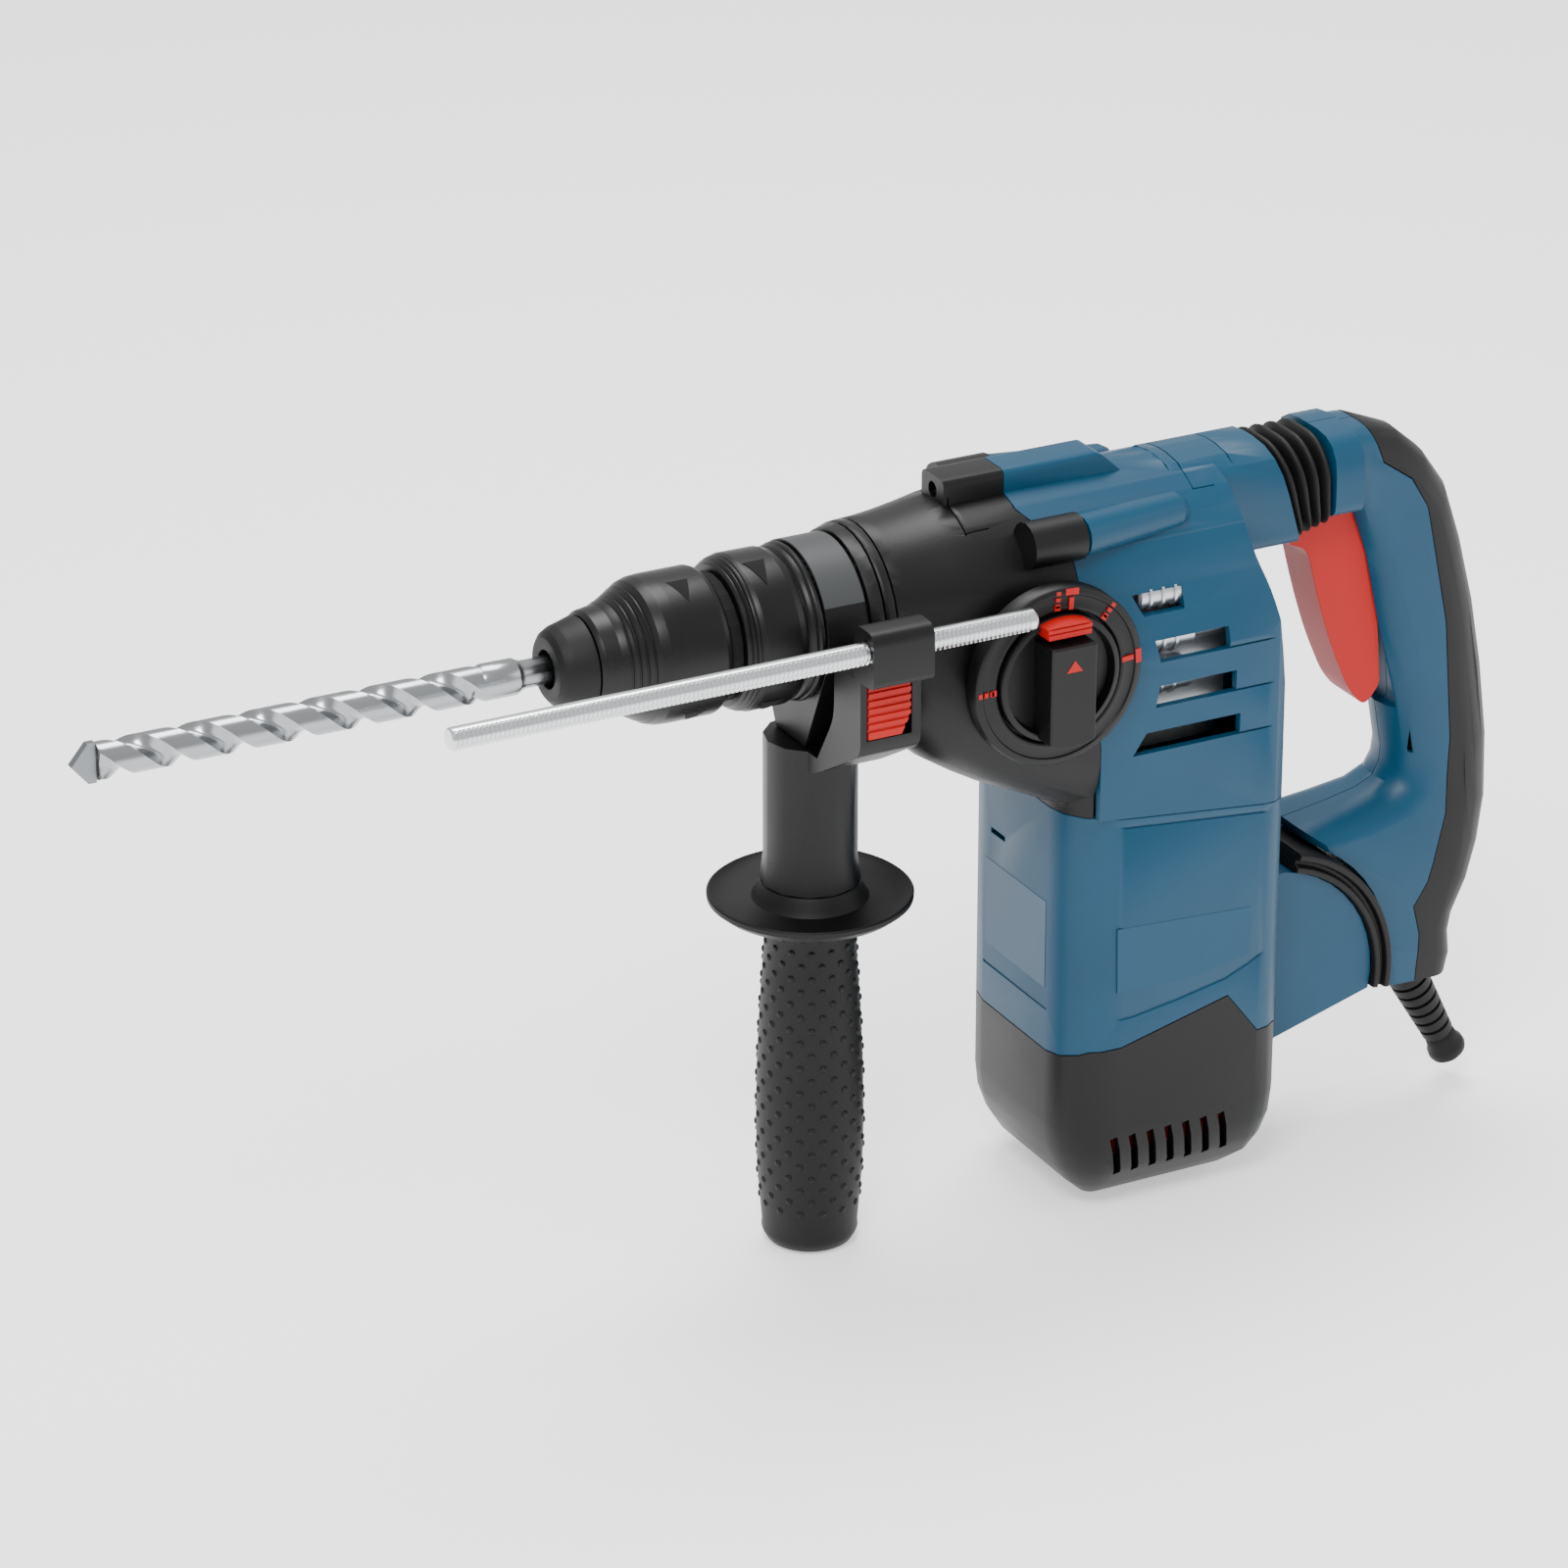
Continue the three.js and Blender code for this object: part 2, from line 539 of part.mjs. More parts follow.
function makeGears() {
  const slope = Math.atan2(BEVEL_PITCH_RADIUS, bevelRingRadius);
  const dx = Math.cos(slope);
  const dr = Math.sin(slope);

  const ringPoint = (scale, angle, height) => {
    const along = layshaftX - BEVEL_PITCH_RADIUS * scale + height * dx;
    const radius = bevelRingRadius * scale + height * dr;
    return new THREE.Vector3(along, radius * Math.cos(angle), radius * Math.sin(angle));
  };
  const ringFace = layshaftX - BEVEL_PITCH_RADIUS;
  const ringBody = turned("x", [[ringFace - 8, tubeRadius + GAP], [ringFace - 8, bevelRingRadius - 4],
    [ringFace - 4, bevelRingRadius], [ringFace - 1.1, bevelRingRadius - 0.4],
    [ringFace + 0.9, bevelRingRadius * 0.74], [ringFace + 0.9, tubeRadius + GAP],
    [ringFace - 8, tubeRadius + GAP]], 27);
  const ringStep = 360 / BEVEL_RING_TEETH;
  const ringTeeth = bevelTeeth(BEVEL_RING_TEETH, -90 + ringStep / 2, ringPoint);
  piece("bevel_ring", joined(solid(ringBody), ...ringTeeth), darkSteel);

  const pinionPoint = (scale, angle, height) => {
    const z = -bevelRingRadius * scale + height * dr;
    const radius = BEVEL_PITCH_RADIUS * scale + height * dx;
    return new THREE.Vector3(layshaftX + radius * Math.cos(angle), radius * Math.sin(angle), z);
  };
  const journal = 4.5;
  const bevelBody = turned("z", [[-bevelRingRadius - 3, 0], [-bevelRingRadius - 3, 5.4],
    [-bevelRingRadius, BEVEL_PITCH_RADIUS - 1.2], [-bevelRingRadius * 0.74, BEVEL_PITCH_RADIUS * 0.74 - 1],
    [-bevelRingRadius * 0.74, 0]], 18);
  const layshaft = joined(
    solid(moved(bevelBody, layshaftX, 0, 0)),
    ...bevelTeeth(BEVEL_PINION_TEETH, 180, pinionPoint),
    solid(moved(bar("z", journal, plateBottom + 2, -bevelRingRadius - 1), layshaftX, 0, 0)),
    solid(moved(plate("z", gearOutline(LAYSHAFT_TEETH, 0), -GEAR_DROP, gearTop), layshaftX, 0, 0)),
  );
  piece("layshaft_gear", layshaft, darkSteel);

  const crankPitch = 360 / CRANK_TEETH;
  const crank = joined(
    solid(moved(plate("z", gearOutline(CRANK_TEETH, crankPitch / 2), -GEAR_DROP, gearTop), crankX, 0, 0)),
    solid(moved(bar("z", 6, plateBottom + 2, -GEAR_DROP + 1), crankX, 0, 0)),
    solid(moved(bar("z", 6.5, gearTop - 1, -5), crankPinX, 0, 0)),
    solid(moved(bar("z", CRANK_PIN_RADIUS, -6, 5), crankPinX, 0, 0)),
  );
  piece("crank_gear", crank, darkSteel);

  const pinion = plate("z", gearOutline(PINION_TEETH, 0), -GEAR_DROP - 1, gearTop + 1);
  piece("motor_pinion", solid(moved(pinion, motorX, 0, 0)), brightSteel);

  const bearingSeat = upperBearingRadius + GAP;
  const plateShape = outline([[layshaftX - 9, -15, 8], [crankX, -28, 6], [motorX + 24, -28, 14],
    [motorX + 24, 28, 14], [crankX, 28, 6], [layshaftX - 9, 15, 8]]);
  const bore = (radius, x) => solid(moved(bar("z", radius, plateBottom - 1, plateTop + 1), x, 0, 0));
  piece("bearing_plate", cut(solid(plate("z", plateShape, plateBottom, plateTop)),
    bore(journal + RUN, layshaftX), bore(6 + RUN, crankX), bore(bearingSeat, motorX)), castAluminium);
}

// ---- Motor ---------------------------------------------------------------------------------------

const upperBearingRadius = 11;
const lowerBearingRadius = 9.5;
const commutatorTop = -CORE_BOTTOM - 10.5;
const commutatorBottom = commutatorTop - 18;
const shaftBottom = -HEIGHT_BELOW + 16;
const fanTop = plateBottom - 26;

function makeMotor() {
  const at = (geometry) => solid(moved(geometry, motorX, 0, 0));
  const seat = SHAFT_RADIUS + GAP;
  const shaftTop = -GEAR_DROP - 1 - GAP;
  const neck = pinionRadius - MODULE;
  piece("armature_shaft", at(turned("z", [[shaftBottom, 0], [shaftBottom, SHAFT_RADIUS],
    [plateTop, SHAFT_RADIUS],
    [plateTop, neck], [shaftTop, neck], [shaftTop, 0]], 16)), brightSteel);
  piece("armature_core", at(pipe("z", seat, CORE_RADIUS, -CORE_BOTTOM, -CORE_TOP)), laminations);
  piece("commutator", at(pipe("z", seat, COMMUTATOR_RADIUS, commutatorBottom, commutatorTop)), copper);

  const hub = at(pipe("z", seat, 9, fanTop - 12, fanTop, 18));
  const disc = at(pipe("z", 8, FAN_RADIUS, fanTop - 2, fanTop, 24));
  const blades = Array.from({ length: 9 }, (_, i) => {
    const blade = block(8, FAN_RADIUS - 1, -0.8, 0.8, fanTop - 11, fanTop - 1);
    blade.translate(0, 4, 0).rotateZ((2 * Math.PI * i) / 9);
    return at(blade);
  });
  piece("cooling_fan", joined(hub, disc, ...blades), blackPlastic);

  piece("upper_bearing", at(pipe("z", seat, upperBearingRadius, plateBottom + 0.5, plateTop - 0.5, 20)),
    brightSteel);
  piece("lower_bearing", at(pipe("z", seat, lowerBearingRadius, shaftBottom, shaftBottom + 8, 20)),
    brightSteel);

  const airGap = CORE_RADIUS + 0.8;
  piece("stator", at(pipe("z", airGap, STATOR_RADIUS, -CORE_BOTTOM - 1, -CORE_TOP + 1, 28)), laminations);
  for (const [name, from] of [["stator_winding_upper", -CORE_TOP + 1 + GAP],
    ["stator_winding_lower", -CORE_BOTTOM - 10]]) {
    const depth = 9 - GAP;
    piece(name, at(turned("z", [[from, 26], [from, 34], [from + depth - 2, 35], [from + depth, 33],
      [from + depth, 28], [from + depth - 2, 25.5], [from, 26]], 20)), copper);
  }

  const brushMiddle = (commutatorTop + commutatorBottom) / 2;
  for (const [suffix, side] of [["near", -1], ["far", 1]]) {
    const inner = COMMUTATOR_RADIUS + GAP;
    const outward = (y0, y1) => [Math.min(side * y0, side * y1), Math.max(side * y0, side * y1)];
    const [b0, b1] = outward(inner, inner + 15);
    const [h0, h1] = outward(inner + 2, inner + 22);
    piece("carbon_brush_" + suffix, at(block(-3, 3, b0, b1, brushMiddle - 4, brushMiddle + 4)), graphite);
    const sheath = at(block(-5, 5, h0, h1, brushMiddle - 6, brushMiddle + 6));
    const [c0, c1] = outward(inner - 1, inner + 19);
    const channel = at(block(-3 - GAP, 3 + GAP, c0, c1, brushMiddle - 4 - GAP, brushMiddle + 4 + GAP));
    piece("brush_holder_" + suffix, cut(sheath, channel), brass);
  }
}

// ---- Casings -------------------------------------------------------------------------------------

// The gearbox section at x: an arch over the tool axis, shoulders, flat sides and round lower corners.
function casingRing(x, halfWidth, arch, floor, inset) {
  const w = halfWidth - inset;
  const a = arch - inset;
  const bottom = floor + inset;
  const corner = Math.min(w, -bottom, 24);
  const right = [
    ...arc(w - corner, bottom + corner, corner, -90, 0, 5),
    [w, Math.max(bottom + corner + 0.5, -14 - (w - a) * 0.6)],
    ...arc(0, 0, a, 4, 90, 8),
  ];
  const left = right.slice(0, -1).reverse().map(([y, z]) => [-y, z]);
  return [...right, ...left].map(([y, z]) => new THREE.Vector3(x, y, z));
}

// Gearbox stations as shares of its length: [share, half-width, arch radius, floor]
function gearboxSkin(inset, from, to) {
  const nose = COLLAR_RADIUS + 4.5;
  const low = -SEAM_DROP;
  const stations = [[0, nose, nose, -nose], [0.07, nose + 1.8, nose + 1.8, -nose - 3],
    [0.17, 37, 31.7, low * 0.53], [0.27, 42, 32.6, low * 0.62], [0.38, BODY_HALF_WIDTH, 34, low * 0.69],
    [0.5, BODY_HALF_WIDTH, ARCH_RADIUS - 0.6, low * 0.76], [1, BODY_HALF_WIDTH, ARCH_RADIUS, low]];
  const at = (share) => {
    const i = Math.max(1, stations.findIndex(([s]) => s >= share));
    const [s0, ...a] = stations[i - 1];
    const [s1, ...b] = stations[i];
    const t = (share - s0) / (s1 - s0);
    return a.map((value, k) => value + (b[k] - value) * t);
  };
  const inside = stations.map(([s]) => s).filter((s) => s > from + 0.01 && s < to - 0.01);
  const shares = [from, ...inside, to];
  const length = housingStart + 5 - gearboxStart;
  return loft(shares.map((s) => casingRing(gearboxStart + s * length, ...at(s), inset)));
}

// The seam between gearbox and upper housing leans forward towards the top, as [x, z] points.
function housingSeam(offset) {
  const x = housingStart + offset;
  return [[x - 17, ridgeTop + 10], [x - 17, ARCH_RADIUS - 4], [x - 3, 19], [x + 4, -53],
    [x + 4, -SEAM_DROP - 20]];
}

// The seam under gearbox and upper housing, which slopes down towards the back.
function floorSeam(offset) {
  const z = -SEAM_DROP + offset;
  return [[gearboxStart, z + 3], [housingStart + 5, z + 3], [housingStart + 80, z - 5],
    [motorBack + 9, z - 5.9]];
}

// A screw boss beside the ridge, along the tool axis.
function tower(side, radius, from, to) {
  return moved(bar("x", radius, from, to, 16), 0, side * 32, 25);
}

const ridgeHalfWidth = 8;
const ridgeTop = ARCH_RADIUS + 7.5;

function makeGearbox() {
  const noseWall = WALL / GEARBOX_LENGTH;
  const shell = solid(gearboxSkin(0, 0, 1));
  const room = solid(gearboxSkin(WALL, noseWall, 1).translate(0.01, 0, 0));
  const mouth = solid(bar("x", tubeRadius + 1, gearboxStart - 1, gearboxStart + WALL + 2));
  const wide = BODY_HALF_WIDTH + 1;
  const farBack = motorBack + 20;
  const behind = toShape([...housingSeam(-GAP), [farBack, -SEAM_DROP - 20], [farBack, ridgeTop + 10]]);
  const ridge = solid(plate("x", outline([[-ridgeHalfWidth, 20], [ridgeHalfWidth, 20],
    [ridgeHalfWidth, ridgeTop, 3],
    [-ridgeHalfWidth, ridgeTop, 3]]), gearboxStart + 39, housingStart));
  const screwHole = solid(moved(bar("x", 3, gearboxStart + 38, gearboxStart + 50, 12), 0, 0, ridgeTop - 5.5));
  const shaftHole = solid(moved(bar("y", knobShaftRadius + RUN, -BODY_HALF_WIDTH - 1,
    -BODY_HALF_WIDTH + WALL + 2, 16),
    knobX, 0, -KNOB_DROP));
  const skirtTop = -SEAM_DROP + 26;
  const skirt = solid(plate("z", toShape(motorPlan(0)), -SEAM_DROP - 9, skirtTop));
  const skirtRoom = solid(plate("z", toShape(motorPlan(WALL)), -SEAM_DROP - 10, skirtTop - 6));
  const below = solid(plate("y", toShape([...floorSeam(0), [motorBack + 9, -SEAM_DROP - 20],
    [gearboxStart, -SEAM_DROP - 20]]), -wide, wide));
  const outer = joined(shell, ridge, skirt);
  const back = solid(plate("y", behind, -wide, wide));
  const trimmed = cut(outer, room, skirtRoom, mouth, back, below, screwHole, shaftHole);
  const towers = [-1, 1].map((side) => solid(tower(side, TOWER_RADIUS, housingStart - 22, housingStart - 1)));
  piece("gearbox_shell", joined(trimmed, ...towers), blackPlastic);

  const bearingOuter = COLLAR_RADIUS - 3.6;
  piece("clamping_collar", solid(turned("x", [[collarStart, bearingOuter], [collarStart, COLLAR_RADIUS],
    [collarEnd, COLLAR_RADIUS], [collarEnd, tubeRadius + 1], [collarEnd - 2.5, tubeRadius + 1],
    [collarEnd - 2.5, bearingOuter], [collarStart, bearingOuter]], 32)), castAluminium);
  piece("front_bearing", solid(pipe("x", tubeRadius + GAP, bearingOuter - GAP, collarStart + 2,
    collarEnd - 3)), brightSteel);
}

// The upper housing is the common part of its side outline, its front section and its plan.
function housingSkin(inset, extra) {
  const lip = housingStart - 20 - extra;
  const top = ARCH_RADIUS - inset;
  const low = -SEAM_DROP - 9 + inset - extra;
  const back = motorBack - inset;
  const side = outline([[lip, top], [back - 21, top, 6], [back - 18, 9.6, 10], [back - 11, -7, 10],
    [back - 4.6, -38, 14],
    [back - 1.5, -69, 12], [back, -SEAM_DROP], [back, low], [lip, low]]);
  const w = BODY_HALF_WIDTH - inset;
  const front = new THREE.Shape([
    ...[[-w, low], [w, low], [w, -22]],
    ...arc(0, 0, top, 4, 176, 14),
    [-w, -22],
  ].map(([y, z]) => new THREE.Vector2(y, z)));
  const corner = Math.max(14 - inset, 4);
  const plan = new THREE.Shape(roundedRectangle(lip - 40, back, w, corner, corner)
    .map(([x, y]) => new THREE.Vector2(x, y)));
  const body = solid(plate("y", side, -w, w))
    .intersect(solid(plate("x", front, lip, back)))
    .intersect(solid(plate("z", plan, low, top)));
  const neckTop = ARCH_RADIUS - inset;
  const n = NECK_HALF_WIDTH - inset;
  const neckFloor = -NECK_DROP + inset;
  const neckShape = outline([[-n, neckFloor, 5], [n, neckFloor, 5], [n, neckTop, 18], [-n, neckTop, 18]]);
  const neck = solid(plate("x", neckShape, housingEnd - 40, housingEnd + NECK_LEAN + 1));
  return joined(body, neck);
}

// The neck's end leans back towards its underside.
const neckRise = ARCH_RADIUS + 1 + NECK_DROP;
const ventHeight = 8;
// Cooling vents as [top and bottom start behind the knob, end before the back, drop below the axis]
const ventRows = [[36, 40, 47, 7.5], [43.5, 45, 30, 24.5], [45, 43.5, 27, 41.5], [40, 34.5, 25, 58.5]];

function makeUpperHousing() {
  const shell = housingSkin(0, 0);
  const room = housingSkin(WALL, 1);
  const ridgeSide = outline([[housingStart - 18, 30], [housingStart - 18, ridgeTop],
    [housingStart + 21, ridgeTop, 3],
    [housingStart + 30, ARCH_RADIUS - 1], [housingStart + 30, 30]]);
  const ridgeFront = outline([[-ridgeHalfWidth, 20], [ridgeHalfWidth, 20], [ridgeHalfWidth, ridgeTop, 3],
    [-ridgeHalfWidth, ridgeTop, 3]]);
  const blueRidge = solid(plate("y", ridgeSide, -ridgeHalfWidth, ridgeHalfWidth))
    .intersect(solid(plate("x", ridgeFront, housingStart - 20, housingStart + 40)));
  const ahead = toShape([...housingSeam(0), [housingStart - 60, -SEAM_DROP - 20],
    [housingStart - 60, ridgeTop + 10]]);
  const front = solid(plate("y", ahead, -BODY_HALF_WIDTH - 1, BODY_HALF_WIDTH + 1));
  const bossShape = [[-0.5, 0], [-0.5, 7.8], [42, 6.4], [45, 4.8], [46, 2.5], [46, 0]];
  const boss = (side) => solid(moved(turned("x", bossShape, 16).rotateZ(-side * BOSS_TURN), housingStart,
    side * 31.8, 25));
  const below = solid(plate("y", toShape([...floorSeam(0), [motorBack + 9, -SEAM_DROP - 20],
    [gearboxStart, -SEAM_DROP - 20]]), -BODY_HALF_WIDTH - 1, BODY_HALF_WIDTH + 1));
  const neckEnd = solid(plate("y", toShape([[housingEnd, ARCH_RADIUS + 1],
    [housingEnd + NECK_LEAN, ARCH_RADIUS + 1 - neckRise],
    [housingEnd + NECK_LEAN, -20], [housingEnd + 40, -20], [housingEnd + 40, ARCH_RADIUS + 1]]), -30, 30));
  const towerRoom = [-1, 1].map((side) => solid(tower(side, TOWER_RADIUS + GAP, housingStart - 24,
    housingStart - 1 + GAP)));
  const vent = (start, low, end, drop) => toShape([[knobX + low, -drop], [motorBack - end, -drop],
    [motorBack - end, ventHeight - drop], [knobX + start, ventHeight - drop]]);
  const vents = ventRows.flatMap(([start, low, end, drop]) => [-1, 1].map((side) =>
    solid(moved(plate("y", vent(start, low, end, drop), -9, 5), 0,
      side < 0 ? 4 - BODY_HALF_WIDTH : BODY_HALF_WIDTH, 0))));
  const outer = joined(shell, blueRidge, boss(-1), boss(1));
  piece("upper_housing", cut(outer, room, front, below, neckEnd, ...towerRoom, ...vents), bluePlastic);
}

// The seam between motor housing and motor cap, seen from the side, as [x, z] points.
function capSeam(offset) {
  const z = -CAP_DROP + offset;
  return [[motorFront - 5, z - 6], [motorFront + 9, z], [motorFront + 20, z + 1], [motorX + 19, z + 12],
    [motorX + 32, z - 5], [motorBack + 5, z - 5]];
}

function motorPlan(inset) {
  const points = roundedRectangle(motorFront + inset, motorBack - inset, BODY_HALF_WIDTH - inset,
    Math.max(20 - inset, 4), Math.max(14 - inset, 4));
  return points;
}

const toShape = (points) => new THREE.Shape(points.map(([x, y]) => new THREE.Vector2(x, y)));

function makeMotorHousing() {
  const top = -SEAM_DROP + 4;
  const above = toShape([...capSeam(0), ...floorSeam(-GAP).reverse()]);
  const wide = BODY_HALF_WIDTH + 1;
  const outer = solid(plate("z", toShape(motorPlan(0)), -CAP_DROP - 10, top));
  const inner = solid(plate("z", toShape(motorPlan(WALL)), -CAP_DROP - 11, top + 1));
  const tub = outer.intersect(solid(plate("y", above, -wide, wide)));
  const arm = solid(plate("y", armShape(0), -armHalfWidth, armHalfWidth));
  const armRoom = solid(plate("y", armShape(WALL), -armHalfWidth + WALL, armHalfWidth - WALL));
  const slot = solid(block(pivotX, jointX + JOINT_RADIUS + 2, -linkHalfWidth - 1, linkHalfWidth + 1,
    pivotZ - 9, pivotZ + 9));
  const pinEnd = armHalfWidth - 1.2;
  const pinHole = solid(moved(bar("y", pivotPinRadius + GAP, -pinEnd - GAP, pinEnd + GAP, 16), pivotX, 0,
    pivotZ));
  piece("motor_housing", cut(joined(tub, arm), inner, armRoom, slot, pinHole), bluePlastic);
  piece("pivot_pin", solid(moved(bar("y", pivotPinRadius, -pinEnd, pinEnd, 16), pivotX, 0, pivotZ)),
    brightSteel);
}

const armHalfWidth = 24;
const linkHalfWidth = 5;
const pivotPinRadius = 4;

// The arm behind the motor: its end is an arc about the joint's centre and its underside slopes.
function armShape(inset) {
  const radius = JOINT_RADIUS - inset;
  const root = motorBack - WALL / 2;
  const low = -10 + inset * 2;
  const top = 79;
  return toShape([[root, jointZ - 22 + inset], ...arc(jointX, jointZ, radius, low, top, 10),
    [root, jointZ + JOINT_RADIUS - 2 - inset]]);
}

function makeMotorCap() {
  const depth = HEIGHT_BELOW - SKIRT_DROP;
  const steps = [0, 1, 2, 3, 4, 5, 6].map((i) => {
    const turn = (i * Math.PI) / 12;
    return [CAP_ROUNDING * (1 - Math.cos(turn)), SKIRT_DROP + depth * Math.sin(turn)];
  });
  const ringAt = (inset, z) => motorPlan(inset).map(([x, y]) => new THREE.Vector3(x, y, z));
  const bowl = (wall) => {
    const rings = steps.map(([inset, drop]) => ringAt(inset + wall, -drop + wall));
    return solid(loft([ringAt(wall, -CAP_DROP + 20), ...rings]));
  };
  const wide = BODY_HALF_WIDTH + 1;
  const below = solid(plate("y", toShape([...capSeam(-GAP), [motorBack + 5, -HEIGHT_BELOW - 1],
    [motorFront - 5, -HEIGHT_BELOW - 1]]), -wide, wide));
  const seat = lowerBearingRadius + GAP;
  const post = solid(moved(pipe("z", seat, seat + 3, -HEIGHT_BELOW + 1, shaftBottom + 7), motorX, 0, 0));
  const vents = [];
  for (let i = 0; i < 7; i++) {
    for (const side of [-1, 1]) {
      const slot = block(-1.4, 1.4, 20, wide, -9, 9).rotateY(-0.25).translate(0, 0, -SKIRT_DROP - 12);
      vents.push(solid(moved(side < 0 ? slot.scale(1, -1, 1) : slot, motorX - 25 + i * 7.5, 0, 0)));
    }
  }
  const armRoom = solid(plate("y", armShape(-GAP), -armHalfWidth - GAP, armHalfWidth + GAP));
  const cap = cut(bowl(0).intersect(below), bowl(WALL), armRoom);
  piece("motor_cap", cut(joined(cap, post), ...vents), blackPlastic);
}

// ---- Mode selector -------------------------------------------------------------------------------

const knobX = housingStart - 17.5;
const knobShaftRadius = 5;

function makeSelector() {
  const face = -BODY_HALF_WIDTH - GAP;
  const recess = 4;
  const ring = bar("y", BEZEL_RADIUS, face - BEZEL_DEPTH, face, 40);
  const well = bar("y", KNOB_RADIUS + RUN, face - BEZEL_DEPTH - 1, face - BEZEL_DEPTH + recess, 32);
  const hole = bar("y", knobShaftRadius + RUN, face - BEZEL_DEPTH, face + 1, 16);
  const place = (geometry) => solid(moved(geometry, knobX, 0, -KNOB_DROP));
  piece("selector_bezel", cut(place(ring), place(well), place(hole)), blackPlastic);

  const floor = face - BEZEL_DEPTH + recess - GAP;
  const rim = floor - 7;
  const barTop = KNOB_RADIUS - 2;
  const handleShape = outline([[-9, -barTop, 4], [9, -barTop, 4], [9, barTop - 8, 2], [-9, barTop - 8, 2]]);
  const knob = joined(
    place(bar("y", KNOB_RADIUS, rim + 2, floor, 32)),
    place(plate("y", handleShape, rim - 7, rim + 3)),
    place(bar("y", knobShaftRadius, floor - 1, face + WALL + 8, 16)),
    place(block(-4, 4, face + WALL + 6, face + WALL + 14, -3, 3)),
  );
  const pocket = place(block(-8, 8, rim - 5, rim + 4, barTop - 11, barTop + 3));
  piece("selector_knob", cut(knob, pocket), blackPlastic);
  const button = block(-8 + RUN, 8 - RUN, rim - 3, rim + 1.5, barTop - 11 + unlockTravel + RUN, barTop + 1);
  piece("unlock_button", place(button), redPlastic);
}

const unlockTravel = 2;

// ---- Side handle ---------------------------------------------------------------------------------

function makeSideHandle() {
  const bandInner = COLLAR_RADIUS + GAP;
  const bandOuter = bandInner + BAND_WALL;
  const bandFrom = clampCentre - CLAMP_WIDTH / 2;
  const bandTo = clampCentre + CLAMP_WIDTH / 2;
  const foot = bandOuter + 15.5;
  const drop = toShape([...arc(0, 0, bandOuter, -28, 208, 22), [-11, -foot], [11, -foot]]);
  const hole = solid(bar("x", bandInner, bandFrom - 1, bandTo + 1, 32));
  const bolthole = solid(moved(bar("z", boltRadius + RUN, -foot - 1, -bandInner, 16), clampCentre, 0, 0));
  piece("clamp_band", cut(solid(plate("x", drop, bandFrom, bandTo)), hole, bolthole), greyPlastic);

  const neckTop = -foot - GAP;
  const neckBottom = -GUARD_DROP + 6;
  const column = turned("z", [[neckBottom, 0], [neckBottom, NECK_RADIUS + 1.2],
    [neckBottom + 10, NECK_RADIUS],
    [neckTop, NECK_RADIUS], [neckTop, 0]], 12);
  const x0 = clampCentre - 8.5;
  const x1 = clampCentre + 15;
  const lowBarrel = STOP_HEIGHT - 12.5;
  const barrelSide = STOP_SIDE + 5.5;
  const pad = bandOuter + 5;
  const bracket = outline([[-10, neckTop], [-10, neckTop - 10], [-22, neckTop - 5, 6],
    [-STOP_SIDE + 4, -31, 4],
    [-STOP_SIDE + 4, lowBarrel], [-barrelSide, lowBarrel, 3], [-barrelSide, STOP_HEIGHT + 8, 5],
    [-STOP_SIDE + 9, STOP_HEIGHT + 8, 5], [-STOP_SIDE + 9, lowBarrel - 0.1], [-pad, lowBarrel - 0.1, 2],
    [-pad, -24, 6], [-21, neckTop]]);
  const buttonFrom = x0 + 3;
  const buttonTo = x1 - 4;
  const buttonTop = lowBarrel - 1;
  const buttonBottom = buttonTop - 21;
  const pocket = solid(block(buttonFrom - RUN, buttonTo + RUN, -STOP_SIDE - 2, -pad - 3 - RUN,
    buttonBottom - RUN,
    buttonTop + RUN));
  const rodHole = solid(moved(bar("x", STOP_RADIUS + 0.4, x0 - 1, x1 + 1, 16), 0, -STOP_SIDE, STOP_HEIGHT));
  const boltBore = solid(moved(bar("z", boltRadius + RUN, neckBottom - 1, neckTop + 1, 16), clampCentre, 0,
    0));
  const head = joined(solid(moved(column, clampCentre, 0, 0)), solid(plate("x", bracket, x0, x1)));
  piece("handle_head", cut(head, pocket, rodHole, boltBore), blackPlastic);

  const buttonFace = -STOP_SIDE + 3.6;
  const buttonBack = -pad - 3 - RUN - BUTTON_TRAVEL - RUN;
  piece("depth_stop_button", solid(block(buttonFrom, buttonTo, buttonFace, buttonBack, buttonBottom,
    buttonTop)),
    redPlastic);
  piece("depth_rod", solid(moved(bar("x", STOP_RADIUS, -STOP_FRONT, STOP_BACK, 12), 0, -STOP_SIDE,
    STOP_HEIGHT)),
    brightSteel);

  const rim = -GUARD_DROP;
  const hubTop = neckBottom - RUN;
  const bottom = -HEIGHT_BELOW;
  const bore = boltRadius + RUN;
  const grip = turned("z", [[hubTop, bore], [hubTop, 18.5], [rim, 20], [rim - 1, GUARD_RADIUS - 5],
    [rim + 1.5, GUARD_RADIUS - 0.5], [rim, GUARD_RADIUS], [rim - 4, GUARD_RADIUS - 4], [rim - 6, 20],
      [rim - 16, 16.2],
    [rim - 40, GRIP_RADIUS - 1.6], [rim - 90, GRIP_RADIUS], [rim - 120, GRIP_RADIUS - 1.4],
      [bottom + 6, GRIP_RADIUS - 2],
    [bottom, GRIP_RADIUS - 5], [bottom, 0], [rim - 92, 0], [rim - 92, bore], [hubTop, bore]], 28);
  piece("side_grip", solid(moved(grip, clampCentre, 0, 0)), softRubber);
  piece("clamp_bolt", solid(moved(bar("z", boltRadius, rim - 90, -foot + 10, 16), clampCentre, 0, 0)),
    brightSteel);
}

const boltRadius = 4;

// ---- D-handle ------------------------------------------------------------------------------------

